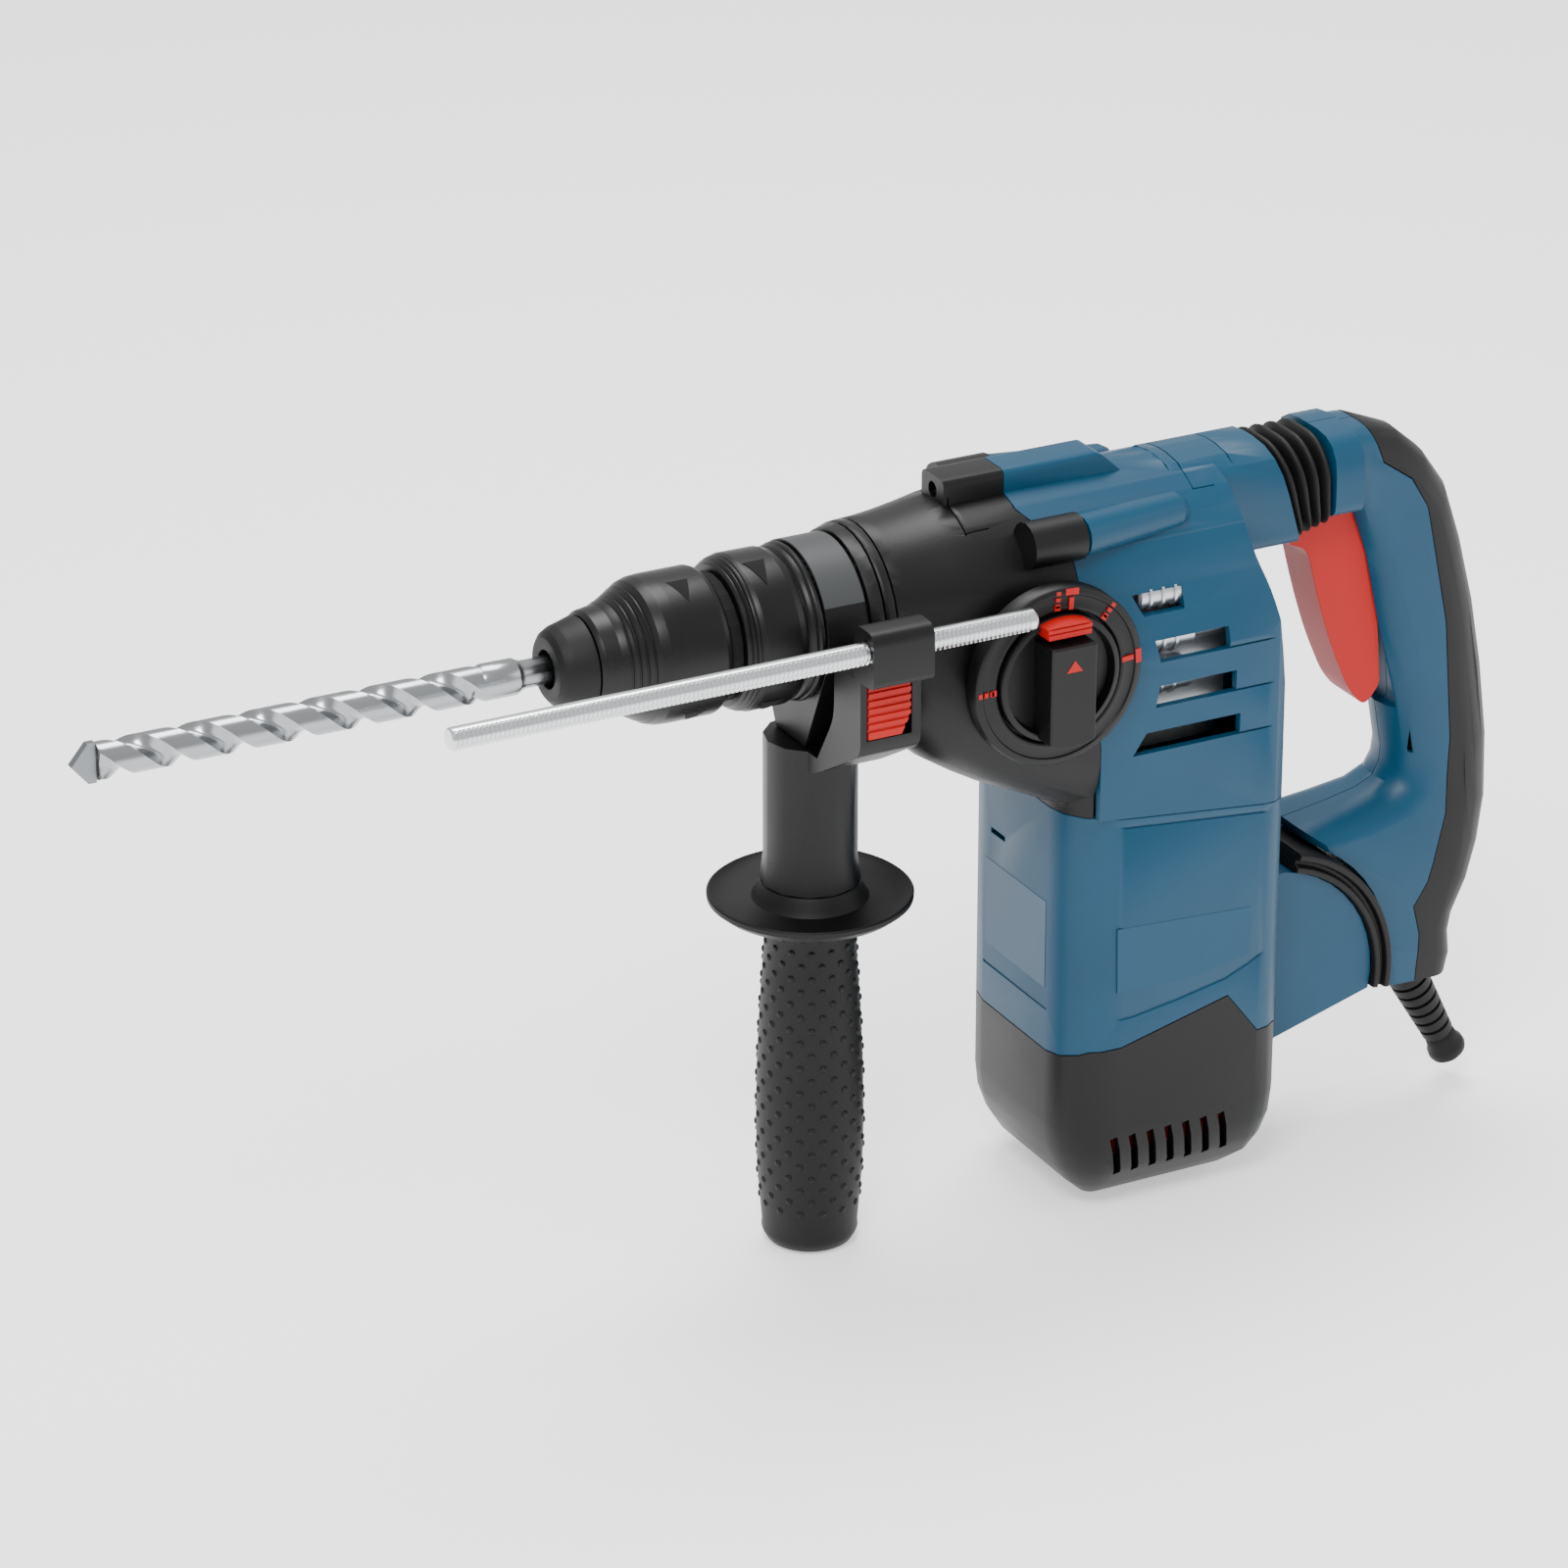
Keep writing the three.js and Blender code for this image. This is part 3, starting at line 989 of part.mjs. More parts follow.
// A rounded section between an outer and an inner edge point, given as [x, z] in the side view.
function handleRing([outerX, outerZ, innerX, innerZ, halfWidth, roundness]) {
  const halfDepth = Math.hypot(outerX - innerX, outerZ - innerZ) / 2;
  const corner = roundness * Math.min(halfDepth, halfWidth);
  const points = roundedRectangle(-halfDepth, halfDepth, halfWidth, corner, corner, 5);
  return points.map(([along, y]) => {
    const t = 0.5 + along / (2 * halfDepth);
    return new THREE.Vector3(innerX + (outerX - innerX) * t, y, innerZ + (outerZ - innerZ) * t);
  });
}

// The D-handle follows its outer and inner edges from the bellows down to the lower joint.
function handleBody() {
  const h = handleStart;
  const e = handleEnd;
  const top = ARCH_RADIUS - 1.5;
  const w = HANDLE_HALF_WIDTH;
  const stations = [
    [h, top, h, HANDLE_RISE, w + 2, 0.75],
    [h + 20, top, h + 13, HANDLE_RISE - 2, w + 1, 0.85],
    [h + 34, top - 5, h + 17, -10, w, 0.9],
    [h + 46, top - 15, h + 19, -18, w, 0.95],
    [h + 56, top - 29, h + 21, -28, w, 0.95],
    [h + 63, -14, h + 24, -42, w, 0.95],
    [h + 70, -40, h + 28, -58, w, 0.95],
    [e - 4, -66, h + 33, -76, w, 0.95],
    [e, -96, e - 42, -98, w, 0.95],
    [e, -108, e - 42.5, -104, w, 0.92],
    [e, -122, e - 45, -109, w + 0.5, 0.88],
    [e - 3.5, -140, h + 27, -112.5, w + 1.5, 0.8],
    [e - 9, -154, h + 12, -115.5, w + 3, 0.7],
    [e - 16, -166, h - 5, -118, NECK_HALF_WIDTH, 0.6],
    [e - 18, -172, jointX + 34, jointZ + 26, NECK_HALF_WIDTH, 0.5],
    [e - 17, -181, jointX + 49, jointZ + 6, NECK_HALF_WIDTH, 0.5],
    [e - 19, jointZ - 13, jointX + 54, jointZ - 12, NECK_HALF_WIDTH - 1, 0.5],
  ];
  const reach = JOINT_RADIUS + JOINT_RUBBER + JOINT_CLEARANCE;
  const seat = moved(bar("y", reach, -BODY_HALF_WIDTH, BODY_HALF_WIDTH, 48), jointX, 0, jointZ);
  return cut(solid(loft(stations.map(handleRing))), solid(seat));
}

// The line that parts the hard shells from the soft grip, moved back by an offset.
function gripLine(offset) {
  const web = handleWebX + offset;
  return [[handleStart + 16 + offset, ARCH_RADIUS + 10], [handleStart + 22 + offset, 23 + offset],
    [web - 21, 14 + offset], [web - 14, 2], [web - 4, -45], [web, -92], [web - 1, -122], [web - 9, -147],
    [web - 15, -156], [web - 12, -168], [web - 13, jointZ - 40]];
}

function makeHandle() {
  const body = joined(handleBody(), neckBlock());
  const far = handleEnd + 20;
  const behind = toShape([...gripLine(0), [far, jointZ - 40], [far, ARCH_RADIUS + 10]].reverse());
  const wide = NECK_HALF_WIDTH + 3;
  const rearHalf = solid(plate("y", behind, -wide, wide));
  const ahead = toShape([...gripLine(-GAP), [handleStart - 60, jointZ - 40],
    [handleStart - 60, ARCH_RADIUS + 10]]);
  const frontHalf = solid(plate("y", ahead, -wide, wide));

  const t = TRIGGER_HALF_WIDTH + RUN;
  const triggerRoom = solid(plate("y", outline([[handleStart - 24, -3], [handleStart, triggerPivotZ - 4],
    [handleStart + 2, triggerPivotZ + 6.5, 3], [handleStart + 22, triggerPivotZ + 7, 3],
      [handleStart + 34, -20], [handleStart + 39, -79, 3], [handleStart + 14, -79],
    [handleStart - 24, -30]]), -t, t));
  const switchRoom = solid(plate("y", switchOutline(1), -13.2, 13.2));
  const wireRoom = solid(plate("y", outline([[handleWebX - 14, -100], [handleWebX - 6, -100],
    [handleWebX - 8, -126],
    [handleWebX - 18, -160], [handleWebX - 20, jointZ - 4], [handleWebX - 28, jointZ - 4],
      [handleWebX - 27, -158]]),
    -5, 5));
  const bootHole = solid(bootStem(BOOT_RADIUS + GAP));
  const link = solid(plate("y", outline([[pivotX + 3, pivotZ - 6],
    [jointX + JOINT_RADIUS + JOINT_RUBBER + 8, pivotZ - 6],
    [jointX + JOINT_RADIUS + JOINT_RUBBER + 8, pivotZ + 6], [pivotX + 3, pivotZ + 6]]), -linkHalfWidth,
      linkHalfWidth));
  const linkEye = solid(moved(bar("y", 8, -linkHalfWidth, linkHalfWidth, 18), pivotX, 0, pivotZ));
  const linkBore = solid(moved(bar("y", pivotPinRadius + RUN, -linkHalfWidth - 1, linkHalfWidth + 1, 16),
    pivotX, 0, pivotZ));
  const linkSolid = cut(joined(link, linkEye), linkBore);
  const linkRoom = solid(block(pivotX, jointX + JOINT_RADIUS + JOINT_RUBBER + 8 + GAP, -linkHalfWidth - GAP,
    linkHalfWidth + GAP, pivotZ - 6 - GAP, pivotZ + 6 + GAP));
  piece("handle_link", linkSolid, darkSteel);

  const shells = cut(body.intersect(frontHalf), triggerRoom, switchRoom, wireRoom, bootHole, linkRoom);
  for (const [name, from, to] of [["handle_shell_near", -wide, -GAP / 2],
    ["handle_shell_far", GAP / 2, wide]]) {
    piece(name, shells.intersect(solid(block(handleStart - 70, far, from, to, jointZ - 60,
      ARCH_RADIUS + 20))), bluePlastic);
  }
  piece("soft_grip", cut(body.intersect(rearHalf), bootHole), softRubber);

  piece("switch_body", solid(plate("y", switchOutline(0), -12, 12)), blackPlastic);
}

// The switch sits behind the trigger; grow leaves room around it.
function switchOutline(grow) {
  const s = handleWebX;
  return outline([[s - 19 - grow, 2 + grow, 1.5], [s - 14.5 + grow, grow, 1.5], [s - 6.5 + grow, -50],
    [s - 6 + grow, -96 - grow, 1.5], [s - 14 - grow, -96 - grow, 1.5], [s - 14.5 - grow, -60]]);
}

// The wider block at the top of the handle that meets the bellows.
function neckBlock() {
  const w = NECK_HALF_WIDTH;
  const shape = outline([[-w, HANDLE_RISE, 5], [w, HANDLE_RISE, 5], [w, ARCH_RADIUS - 0.5, 17],
    [-w, ARCH_RADIUS - 0.5, 17]]);
  return solid(plate("x", shape, handleStart, handleStart + 12));
}

const bootAngle = 29; // degrees off the vertical, leaning back
const bootLength = 52;

// The cord boot's stem, from inside the handle down and back.
function bootStem(radius) {
  const stem = turned("z", [[-6, 0], [-6, radius], [12, radius], [12, 0]], 16);
  return stem.rotateY((-bootAngle * Math.PI) / 180).translate(bootX, 0, jointZ - 13);
}

const bootX = handleEnd - 30;

function makeTrigger() {
  const h = handleStart;
  const top = triggerPivotZ + 4;
  const shape = outline([[h + 1, top - 13.5, 1.5], [h + 3, top - 4, 2], [h + 8, top, 3], [h + 18, top, 4],
    [h + 23, -8], [h + 27, -40],
    [h + 29.5, -68, 3], [h + 23, -76, 4], [h + 16, -68, 6], [h + 8, -50, 8], [h + 1.5, -30, 8],
      [h - 4, -9, 4],
    [h - 12, -5.5, 1.5], [h - 12, -2.6, 1], [h - 8, 0.5]]);
  const body = solid(plate("y", shape, -TRIGGER_HALF_WIDTH, TRIGGER_HALF_WIDTH));
  const bore = solid(moved(bar("y", 2 + GAP, -TRIGGER_HALF_WIDTH - 1, TRIGGER_HALF_WIDTH + 1, 12),
    triggerPivotX, 0, triggerPivotZ));
  piece("trigger", cut(body, bore), redPlastic);
  piece("trigger_pin", solid(moved(bar("y", 2, -TRIGGER_HALF_WIDTH - RUN + 0.2,
    TRIGGER_HALF_WIDTH + RUN - 0.2, 12),
    triggerPivotX, 0, triggerPivotZ)), brightSteel);

  const boot = turned("z", [[-10, 0], [-10, BOOT_RADIUS], [2, BOOT_RADIUS], [6, BOOT_RADIUS - 0.8],
    [bootLength - 8, 6], [bootLength - 6, 7.4], [bootLength - 2, 7.2], [bootLength, 5], [bootLength, 4],
    [bootLength - 3, 3.6], [bootLength - 3, 0]].map(([along, radius]) => [-along, radius]), 16);
  boot.rotateY((-bootAngle * Math.PI) / 180).translate(bootX, 0, jointZ - 13);
  piece("cord_boot", solid(boot), softRubber);
}

// Ribbed bellows between housing and handle: a hollow sleeve whose section swells at each rib.
function makeBellows() {
  const section = (x, swell, w0, lean, rise) => {
    const w = w0 + swell;
    const top = ARCH_RADIUS - 3 + swell;
    const bottom = 2 + rise - swell;
    return [
      ...arc(w - 6, bottom + 6, 6, -90, 0, 2), ...arc(w - 16, top - 16, 16, 0, 90, 4),
      ...arc(16 - w, top - 16, 16, 90, 180, 4), ...arc(6 - w, bottom + 6, 6, 180, 270, 2),
    ].map(([y, z]) => new THREE.Vector3(x + (lean * (ARCH_RADIUS + 1 - z)) / neckRise, y, z));
  };
  const ribs = 4;
  const outer = [];
  for (let i = 0; i <= 2 * ribs; i++) {
    const share = i / (2 * ribs);
    const lean = NECK_LEAN * (1 - share);
    outer.push(section(bellowsStart + BELLOWS_LENGTH * share, i % 2 ? 2.4 : 0, NECK_HALF_WIDTH - 2.6, lean,
      share * (HANDLE_RISE - 2)));
  }
  const inner = [0, 1].map((end) => section(bellowsStart - 1 + end * (BELLOWS_LENGTH + 2), -2.2,
    NECK_HALF_WIDTH - 2.6,
    NECK_LEAN * (1 - end), end * (HANDLE_RISE - 2)));
  piece("handle_bellows", cut(solid(loft(outer)), solid(loft(inner))), softRubber);

  const from = JOINT_RADIUS + GAP;
  const to = JOINT_RADIUS + JOINT_RUBBER;
  const strip = toShape([...arc(jointX, jointZ, to, -10, 76, 12), ...arc(jointX, jointZ, from, 76, -10, 12)]);
  const wide = armHalfWidth + 1.5;
  const slot = solid(block(jointX + JOINT_RADIUS - 6, jointX + to + 2, -linkHalfWidth - 1,
    linkHalfWidth + 1, pivotZ - 8.5,
    pivotZ + 8.5));
  piece("joint_rubber", cut(solid(plate("y", strip, -wide, wide)), slot), softRubber);
}

makeBit();
makeChuck();
makeHammerMechanism();
makeGears();
makeMotor();
makeGearbox();
makeUpperHousing();
makeMotorHousing();
makeMotorCap();
makeSelector();
makeSideHandle();
makeHandle();
makeTrigger();
makeBellows();

// The part stands on its lowest point, centred over the origin.
const box = new THREE.Box3().setFromObject(hammer, true);
hammer.position.set(-(box.min.x + box.max.x) / 2, -(box.min.y + box.max.y) / 2, -box.min.z);

export default hammer;
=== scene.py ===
import math

import bmesh
import bpy
from mathutils import Matrix, Vector


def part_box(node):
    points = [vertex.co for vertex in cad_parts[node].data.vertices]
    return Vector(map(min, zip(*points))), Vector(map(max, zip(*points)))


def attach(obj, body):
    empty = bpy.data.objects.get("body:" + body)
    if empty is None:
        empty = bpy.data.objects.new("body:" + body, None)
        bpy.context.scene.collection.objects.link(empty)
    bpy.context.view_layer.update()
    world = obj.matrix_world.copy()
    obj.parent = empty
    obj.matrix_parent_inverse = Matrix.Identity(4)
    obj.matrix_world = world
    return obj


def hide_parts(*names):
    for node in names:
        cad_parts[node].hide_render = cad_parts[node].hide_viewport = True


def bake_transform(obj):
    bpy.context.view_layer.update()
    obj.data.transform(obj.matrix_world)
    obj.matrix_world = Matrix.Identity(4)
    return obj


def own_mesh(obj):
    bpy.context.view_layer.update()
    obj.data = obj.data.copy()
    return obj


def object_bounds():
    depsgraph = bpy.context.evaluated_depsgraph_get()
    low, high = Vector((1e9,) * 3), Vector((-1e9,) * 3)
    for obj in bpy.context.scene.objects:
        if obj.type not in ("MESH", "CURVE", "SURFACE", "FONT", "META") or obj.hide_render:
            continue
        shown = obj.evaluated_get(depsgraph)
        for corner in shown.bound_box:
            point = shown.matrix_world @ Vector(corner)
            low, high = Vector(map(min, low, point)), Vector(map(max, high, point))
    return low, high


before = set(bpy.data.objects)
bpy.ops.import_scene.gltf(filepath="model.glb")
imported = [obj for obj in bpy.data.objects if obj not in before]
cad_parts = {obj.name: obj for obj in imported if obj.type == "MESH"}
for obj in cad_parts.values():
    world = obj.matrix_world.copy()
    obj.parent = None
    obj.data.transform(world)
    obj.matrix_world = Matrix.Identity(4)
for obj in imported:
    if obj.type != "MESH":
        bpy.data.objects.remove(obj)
size_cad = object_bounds()

# ---- Where things are ----------------------------------------------------------------------------
# The tool axis runs along X through the hammer tube, and stations are counted in millimetres from
# the chuck's nose plane, a little ahead of the dust cap. Up is Z, and the selector faces -Y.
MM = 0.001
NOSE_AHEAD = 1.5
tube_low, tube_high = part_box("hammer_tube")
cap_low, cap_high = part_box("dust_cap")
nose = Vector((cap_low.x - NOSE_AHEAD * MM, (tube_low.y + tube_high.y) / 2, (tube_low.z + tube_high.z) / 2))


def at(x, y, z):
    return nose + Vector((x, y, z)) * MM


def reach(node):
    """A CAD node's lowest and highest corners, in millimetres from the nose."""
    low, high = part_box(node)
    return (Vector(low) - nose) / MM, (Vector(high) - nose) / MM


# ---- Camera, floor and light ---------------------------------------------------------------------
# A long lens looks down from the front left. Soft panels light a floor of white studio paper, which
# glows a little so that it stays pale, under an even white sky.
camera_data = bpy.data.cameras.new("camera")
camera_data.lens = 146.25
camera_data.sensor_width = 36
camera_data.clip_end = 50
camera = bpy.data.objects.new("camera", camera_data)
bpy.context.scene.collection.objects.link(camera)
view_turn = math.radians(27.6)  # round the object from its near side
view_tilt = math.radians(24.3)  # down from the level
right = Vector((math.cos(view_turn), -math.sin(view_turn), 0))
back = Vector((
    -math.sin(view_turn) * math.cos(view_tilt),
    -math.cos(view_turn) * math.cos(view_tilt),
    math.sin(view_tilt),
))
pose = Matrix((right, back.cross(right), back)).transposed().to_4x4()
pose.translation = at(-849.3, -1802.2, 856.4)
camera.matrix_world = pose
bpy.context.scene.camera = camera


def linear(code):
    """An sRGB hex colour as the linear values that a shader takes."""
    channels = [int(code[i:i + 2], 16) / 255 for i in (1, 3, 5)]
    turned = [c / 12.92 if c <= 0.04045 else ((c + 0.055) / 1.055) ** 2.4 for c in channels]
    return (*turned, 1)


def add_node(material, kind, settings=None, links=None):
    """A node with its settings, by attribute or socket name, and its inputs linked from other sockets."""
    tree = material.node_tree
    node = tree.nodes.new(kind)
    for key, value in (settings or {}).items():
        if isinstance(key, int) or key in node.inputs:
            node.inputs[key].default_value = value
        else:
            setattr(node, key, value)
    for key, source in (links or {}).items():
        tree.links.new(source, node.inputs[key])
    return node


SATIN = 0.28  # a spark-eroded skin throws back less of the sky than a polished one


def new_material(name, color, roughness, metallic=0.0, ior=1.5):
    """A material with one principled shader, and that shader."""
    material = bpy.data.materials.new(name)
    material.use_nodes = True
    shader = material.node_tree.nodes["Principled BSDF"]
    shader.inputs["Base Color"].default_value = linear(color)
    shader.inputs["Roughness"].default_value = roughness
    shader.inputs["Metallic"].default_value = metallic
    shader.inputs["IOR"].default_value = ior
    shader.inputs["Specular IOR Level"].default_value = 0.5 if metallic else SATIN
    return material, shader


PATCH = 30  # width of the slow changes in sheen over a moulding, in millimetres


def grain(material, shader, size, depth, wear=None):
    """A moulded or cast grain, its size and depth in millimetres, with an uneven sheen and colour."""
    place = add_node(material, "ShaderNodeTexCoord")
    fine = add_node(material, "ShaderNodeTexNoise", {"Scale": 1 / (size * MM), "Detail": 2.0},
                    {"Vector": place.outputs["Object"]})
    bump = add_node(material, "ShaderNodeBump", {"Distance": depth * MM}, {"Height": fine.outputs["Fac"]})
    material.node_tree.links.new(bump.outputs["Normal"], shader.inputs["Normal"])
    broad = add_node(material, "ShaderNodeTexNoise", {"Scale": 1 / (PATCH * MM), "Detail": 4.0},
                     {"Vector": place.outputs["Object"]})
    base = shader.inputs["Roughness"].default_value
    sheen = add_node(material, "ShaderNodeMapRange", {"To Min": base - 0.05, "To Max": base + 0.06},
                     {"Value": broad.outputs["Fac"]})
    material.node_tree.links.new(sheen.outputs["Result"], shader.inputs["Roughness"])
    if wear:
        tone = add_node(material, "ShaderNodeMix", {"data_type": "RGBA"}, {"Factor": broad.outputs["Fac"]})
        # The mix node's colour sockets are numbered, because its number sockets have the same names.
        tone.inputs[6].default_value = shader.inputs["Base Color"].default_value
        tone.inputs[7].default_value = linear(wear)
        material.node_tree.links.new(tone.outputs[2], shader.inputs["Base Color"])


floor_bm = bmesh.new()
bmesh.ops.create_grid(floor_bm, x_segments=1, y_segments=1, size=12)
floor_mesh = bpy.data.meshes.new("floor")
floor_bm.to_mesh(floor_mesh)
floor_bm.free()
floor = bpy.data.objects.new("floor", floor_mesh)
bpy.context.scene.collection.objects.link(floor)
floor.location.z = size_cad[0][2] - 0.5 * MM
# Matt uncoated paper: white and even, with no gloss.
floor_paper, floor_shader = new_material("studio_paper", "#ffffff", 0.95)
floor_shader.inputs["Emission Color"].default_value = (1, 1, 1, 1)
floor_shader.inputs["Emission Strength"].default_value = 0.6
floor.data.materials.append(floor_paper)


def panel_light(name, place, target, width, power):
    data = bpy.data.lights.new(name, "AREA")
    data.shape = "RECTANGLE"
    data.size = width
    data.size_y = width
    data.energy = power
    lamp = bpy.data.objects.new(name, data)
    bpy.context.scene.collection.objects.link(lamp)
    lamp.location = place
    lamp.rotation_euler = (Vector(target) - Vector(place)).to_track_quat("-Z", "Y").to_euler()


middle = at(150, 0, -60)
panel_light("key", middle + Vector((-0.9, -1.1, 1.7)), middle, 0.7, 34)
panel_light("fill", middle + Vector((1.8, -1.0, 0.7)), middle, 1.2, 8)
panel_light("top", middle + Vector((0.2, 0.6, 1.8)), middle, 1.0, 40)
world = bpy.data.worlds.new("studio")
world.use_nodes = True
world.node_tree.nodes["Background"].inputs["Color"].default_value = (1, 1, 1, 1)
world.node_tree.nodes["Background"].inputs["Strength"].default_value = 0.9
bpy.context.scene.world = world

# ---- Blue housings -------------------------------------------------------------------------------
# Glass-filled nylon shells, injection moulded in satin blue with a fine spark-eroded grain. The
# upper housing covers the gears, and the motor housing holds the motor and the D-handle's lower arm.
# Their edges are rounded as the mould leaves them, and shallow grooves mark the mould's inserts.
# Moulded nylon with glass fibre: a satin surface with a fine grain, and a sheen that varies slowly.
blue_nylon, blue_shader = new_material("moulded_blue_nylon", "#08415c", 0.42)
grain(blue_nylon, blue_shader, 0.7, 0.02, "#073a53")


def placed(bm):
    """Moves a bmesh from millimetres about the nose into the model's frame."""
    bmesh.ops.scale(bm, vec=(MM, MM, MM), verts=bm.verts)
    bmesh.ops.translate(bm, vec=nose, verts=bm.verts)
    return bm


def new_piece(name, bm, material, body, stands_for=(), sharp=35):
    """A piece from a bmesh that is in its place. It rides on a body and may stand for CAD nodes."""
    mesh = bpy.data.meshes.new(name)
    bm.to_mesh(mesh)
    bm.free()
    mesh.materials.append(material)
    piece = bpy.data.objects.new(name, mesh)
    bpy.context.scene.collection.objects.link(piece)
    smooth(piece, sharp)
    if body:
        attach(piece, body)
    if stands_for:
        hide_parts(*stands_for)
    return piece


def smooth(piece, sharp):
    piece.data.polygons.foreach_set("use_smooth", [True] * len(piece.data.polygons))
    piece.data.set_sharp_from_angle(angle=math.radians(sharp))


def soften(piece, width, segments=2, sharp=35):
    """A rounding of every edge sharper than an angle, in millimetres."""
    rounding = piece.modifiers.new("rounding", "BEVEL")
    rounding.width = width * MM
    rounding.segments = segments
    rounding.limit_method = "ANGLE"
    rounding.angle_limit = math.radians(sharp)
    rounding.harden_normals = True
    return piece


def carve(piece, cutters, sharp=35):
    """Cuts a bmesh in millimetres, made of closed shapes, out of a piece, and merges what is left."""
    mesh = bpy.data.meshes.new("cutter")
    placed(cutters).to_mesh(mesh)
    cutters.free()
    cutter = bpy.data.objects.new("cutter", mesh)
    bpy.context.scene.collection.objects.link(cutter)
    cutting = piece.modifiers.new("cutting", "BOOLEAN")
    cutting.solver = "EXACT"
    cutting.use_self = True
    cutting.object = cutter
    cut = bpy.data.meshes.new_from_object(piece.evaluated_get(bpy.context.evaluated_depsgraph_get()))
    piece.modifiers.clear()
    material = piece.data.materials[0]
    piece.data = cut
    cut.materials.clear()
    cut.materials.append(material)
    cut.polygons.foreach_set("material_index", [0] * len(cut.polygons))
    bm = bmesh.new()
    bm.from_mesh(cut)
    bmesh.ops.remove_doubles(bm, verts=bm.verts, dist=0.005 * MM)
    bmesh.ops.dissolve_degenerate(bm, edges=bm.edges, dist=0.005 * MM)
    bm.to_mesh(cut)
    bm.free()
    bpy.data.objects.remove(cutter)
    smooth(piece, sharp)
    return piece


def dressed(node, material, body, sharp=35):
    """A merged copy of a CAD node, which stands for it."""
    bm = bmesh.new()
    bm.from_mesh(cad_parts[node].data)
    bmesh.ops.remove_doubles(bm, verts=bm.verts, dist=0.01 * MM)
    bmesh.ops.dissolve_limit(bm, angle_limit=math.radians(1.5), verts=bm.verts, edges=bm.edges)
    return new_piece(node + "_finished", bm, material, body, [node], sharp)


def add_block(bm, low, high, turn=None):
    """A box between two corners in millimetres, turned about its middle by a matrix."""
    middle = (Vector(low) + Vector(high)) / 2
    size = Vector(high) - Vector(low)
    place = Matrix.Translation(middle) @ (turn or Matrix()) @ Matrix.Diagonal((*size, 1))
    return bmesh.ops.create_cube(bm, size=1, matrix=place)["verts"]


def add_prism(bm, points, axis, start, end):
    """An outline pulled along an axis: (x, y) points for z, (x, z) points for y, (y, z) points for x."""
    order = {"x": (2, 0, 1), "y": (0, 2, 1), "z": (0, 1, 2)}[axis]
    corners = [bm.verts.new(Vector([(a, b, start)[i] for i in order])) for a, b in points]
    face = bm.faces.new(corners)
    pulled = bmesh.ops.extrude_face_region(bm, geom=[face], use_keep_orig=True)["geom"]
    top = [e for e in pulled if isinstance(e, bmesh.types.BMVert)]
    step = Vector([(0, 0, end - start)[i] for i in order])
    bmesh.ops.translate(bm, vec=step, verts=top)
    shell = {f for v in corners + top for f in v.link_faces}
    bmesh.ops.recalc_face_normals(bm, faces=list(shell))


def add_ring(bm, profile, axis="x", centre=(0, 0, 0), segments=96, sweep=360, start=0, closed=True):
    """A profile of (along, radius) points turned about an axis through a centre, from a start angle."""
    along, out = {
        "x": (Vector((1, 0, 0)), Vector((0, 0, 1))),
        "y": (Vector((0, 1, 0)), Vector((0, 0, 1))),
        "z": (Vector((0, 0, 1)), Vector((1, 0, 0))),
    }[axis]
    out = Matrix.Rotation(math.radians(start), 3, along) @ out
    verts = [bm.verts.new(Vector(centre) + along * a + out * r) for a, r in profile]
    edges = [bm.edges.new(pair) for pair in zip(verts, verts[1:])]
    if closed:
        edges.append(bm.edges.new((verts[-1], verts[0])))
    before = set(bm.verts) - set(verts)
    bmesh.ops.spin(bm, geom=verts + edges, cent=Vector(centre), axis=along, angle=math.radians(sweep),
                   steps=segments, use_merge=sweep == 360, use_duplicate=False)
    added = [v for v in bm.verts if v not in before]
    if sweep != 360:
        ends = [e for e in bm.edges if e.is_boundary and e.verts[0] not in before]
        bmesh.ops.holes_fill(bm, edges=ends, sides=0)
    bmesh.ops.remove_doubles(bm, verts=added, dist=0.001)
    added = [v for v in bm.verts if v not in before]
    bmesh.ops.recalc_face_normals(bm, faces=list({f for v in added for f in v.link_faces}))
    return added


upper_housing = dressed("upper_housing", blue_nylon, "casing")
upper_low, upper_high = reach("upper_housing")
motor_low, motor_high = reach("motor_cap")
side_y = -motor_high.y
GROOVE = 0.5
SLAT_START = 236
INSERT_LINES = ((243.5, 37), (263.5, 35))  # station, and degrees down each side of the arch
CONTOUR_WIDTH = 0.9
arch_radius = reach("handle_shell_near")[1].z + 0.5
grooves = bmesh.new()
for x, sweep in INSERT_LINES:
    for side in (1, -1):
        add_ring(grooves, [(x, arch_radius - GROOVE), (x, arch_radius + 3), (x + GROOVE, arch_radius + 3),
                           (x + GROOVE, arch_radius - GROOVE)], segments=16, sweep=sweep * side)
        y = -side * (arch_radius - 0.3) * math.sin(math.radians(sweep))
        z = (arch_radius - 0.3) * math.cos(math.radians(sweep))
        add_block(grooves, (x - 0.05, y - 0.25, z - 0.3), (x + 9, y + 0.25, z + 5))
# The slats between the vents run on as shallow grooves to the back edge.
for drop in (7.5, 24.5, 41.5, 58.5):
    for side in (1, -1):
        wall = side * side_y
        add_block(grooves, (SLAT_START, wall - 0.7, -drop), (upper_high.x, wall + 0.7, -drop + 0.8))
carve(upper_housing, grooves)
soften(upper_housing, 0.7)

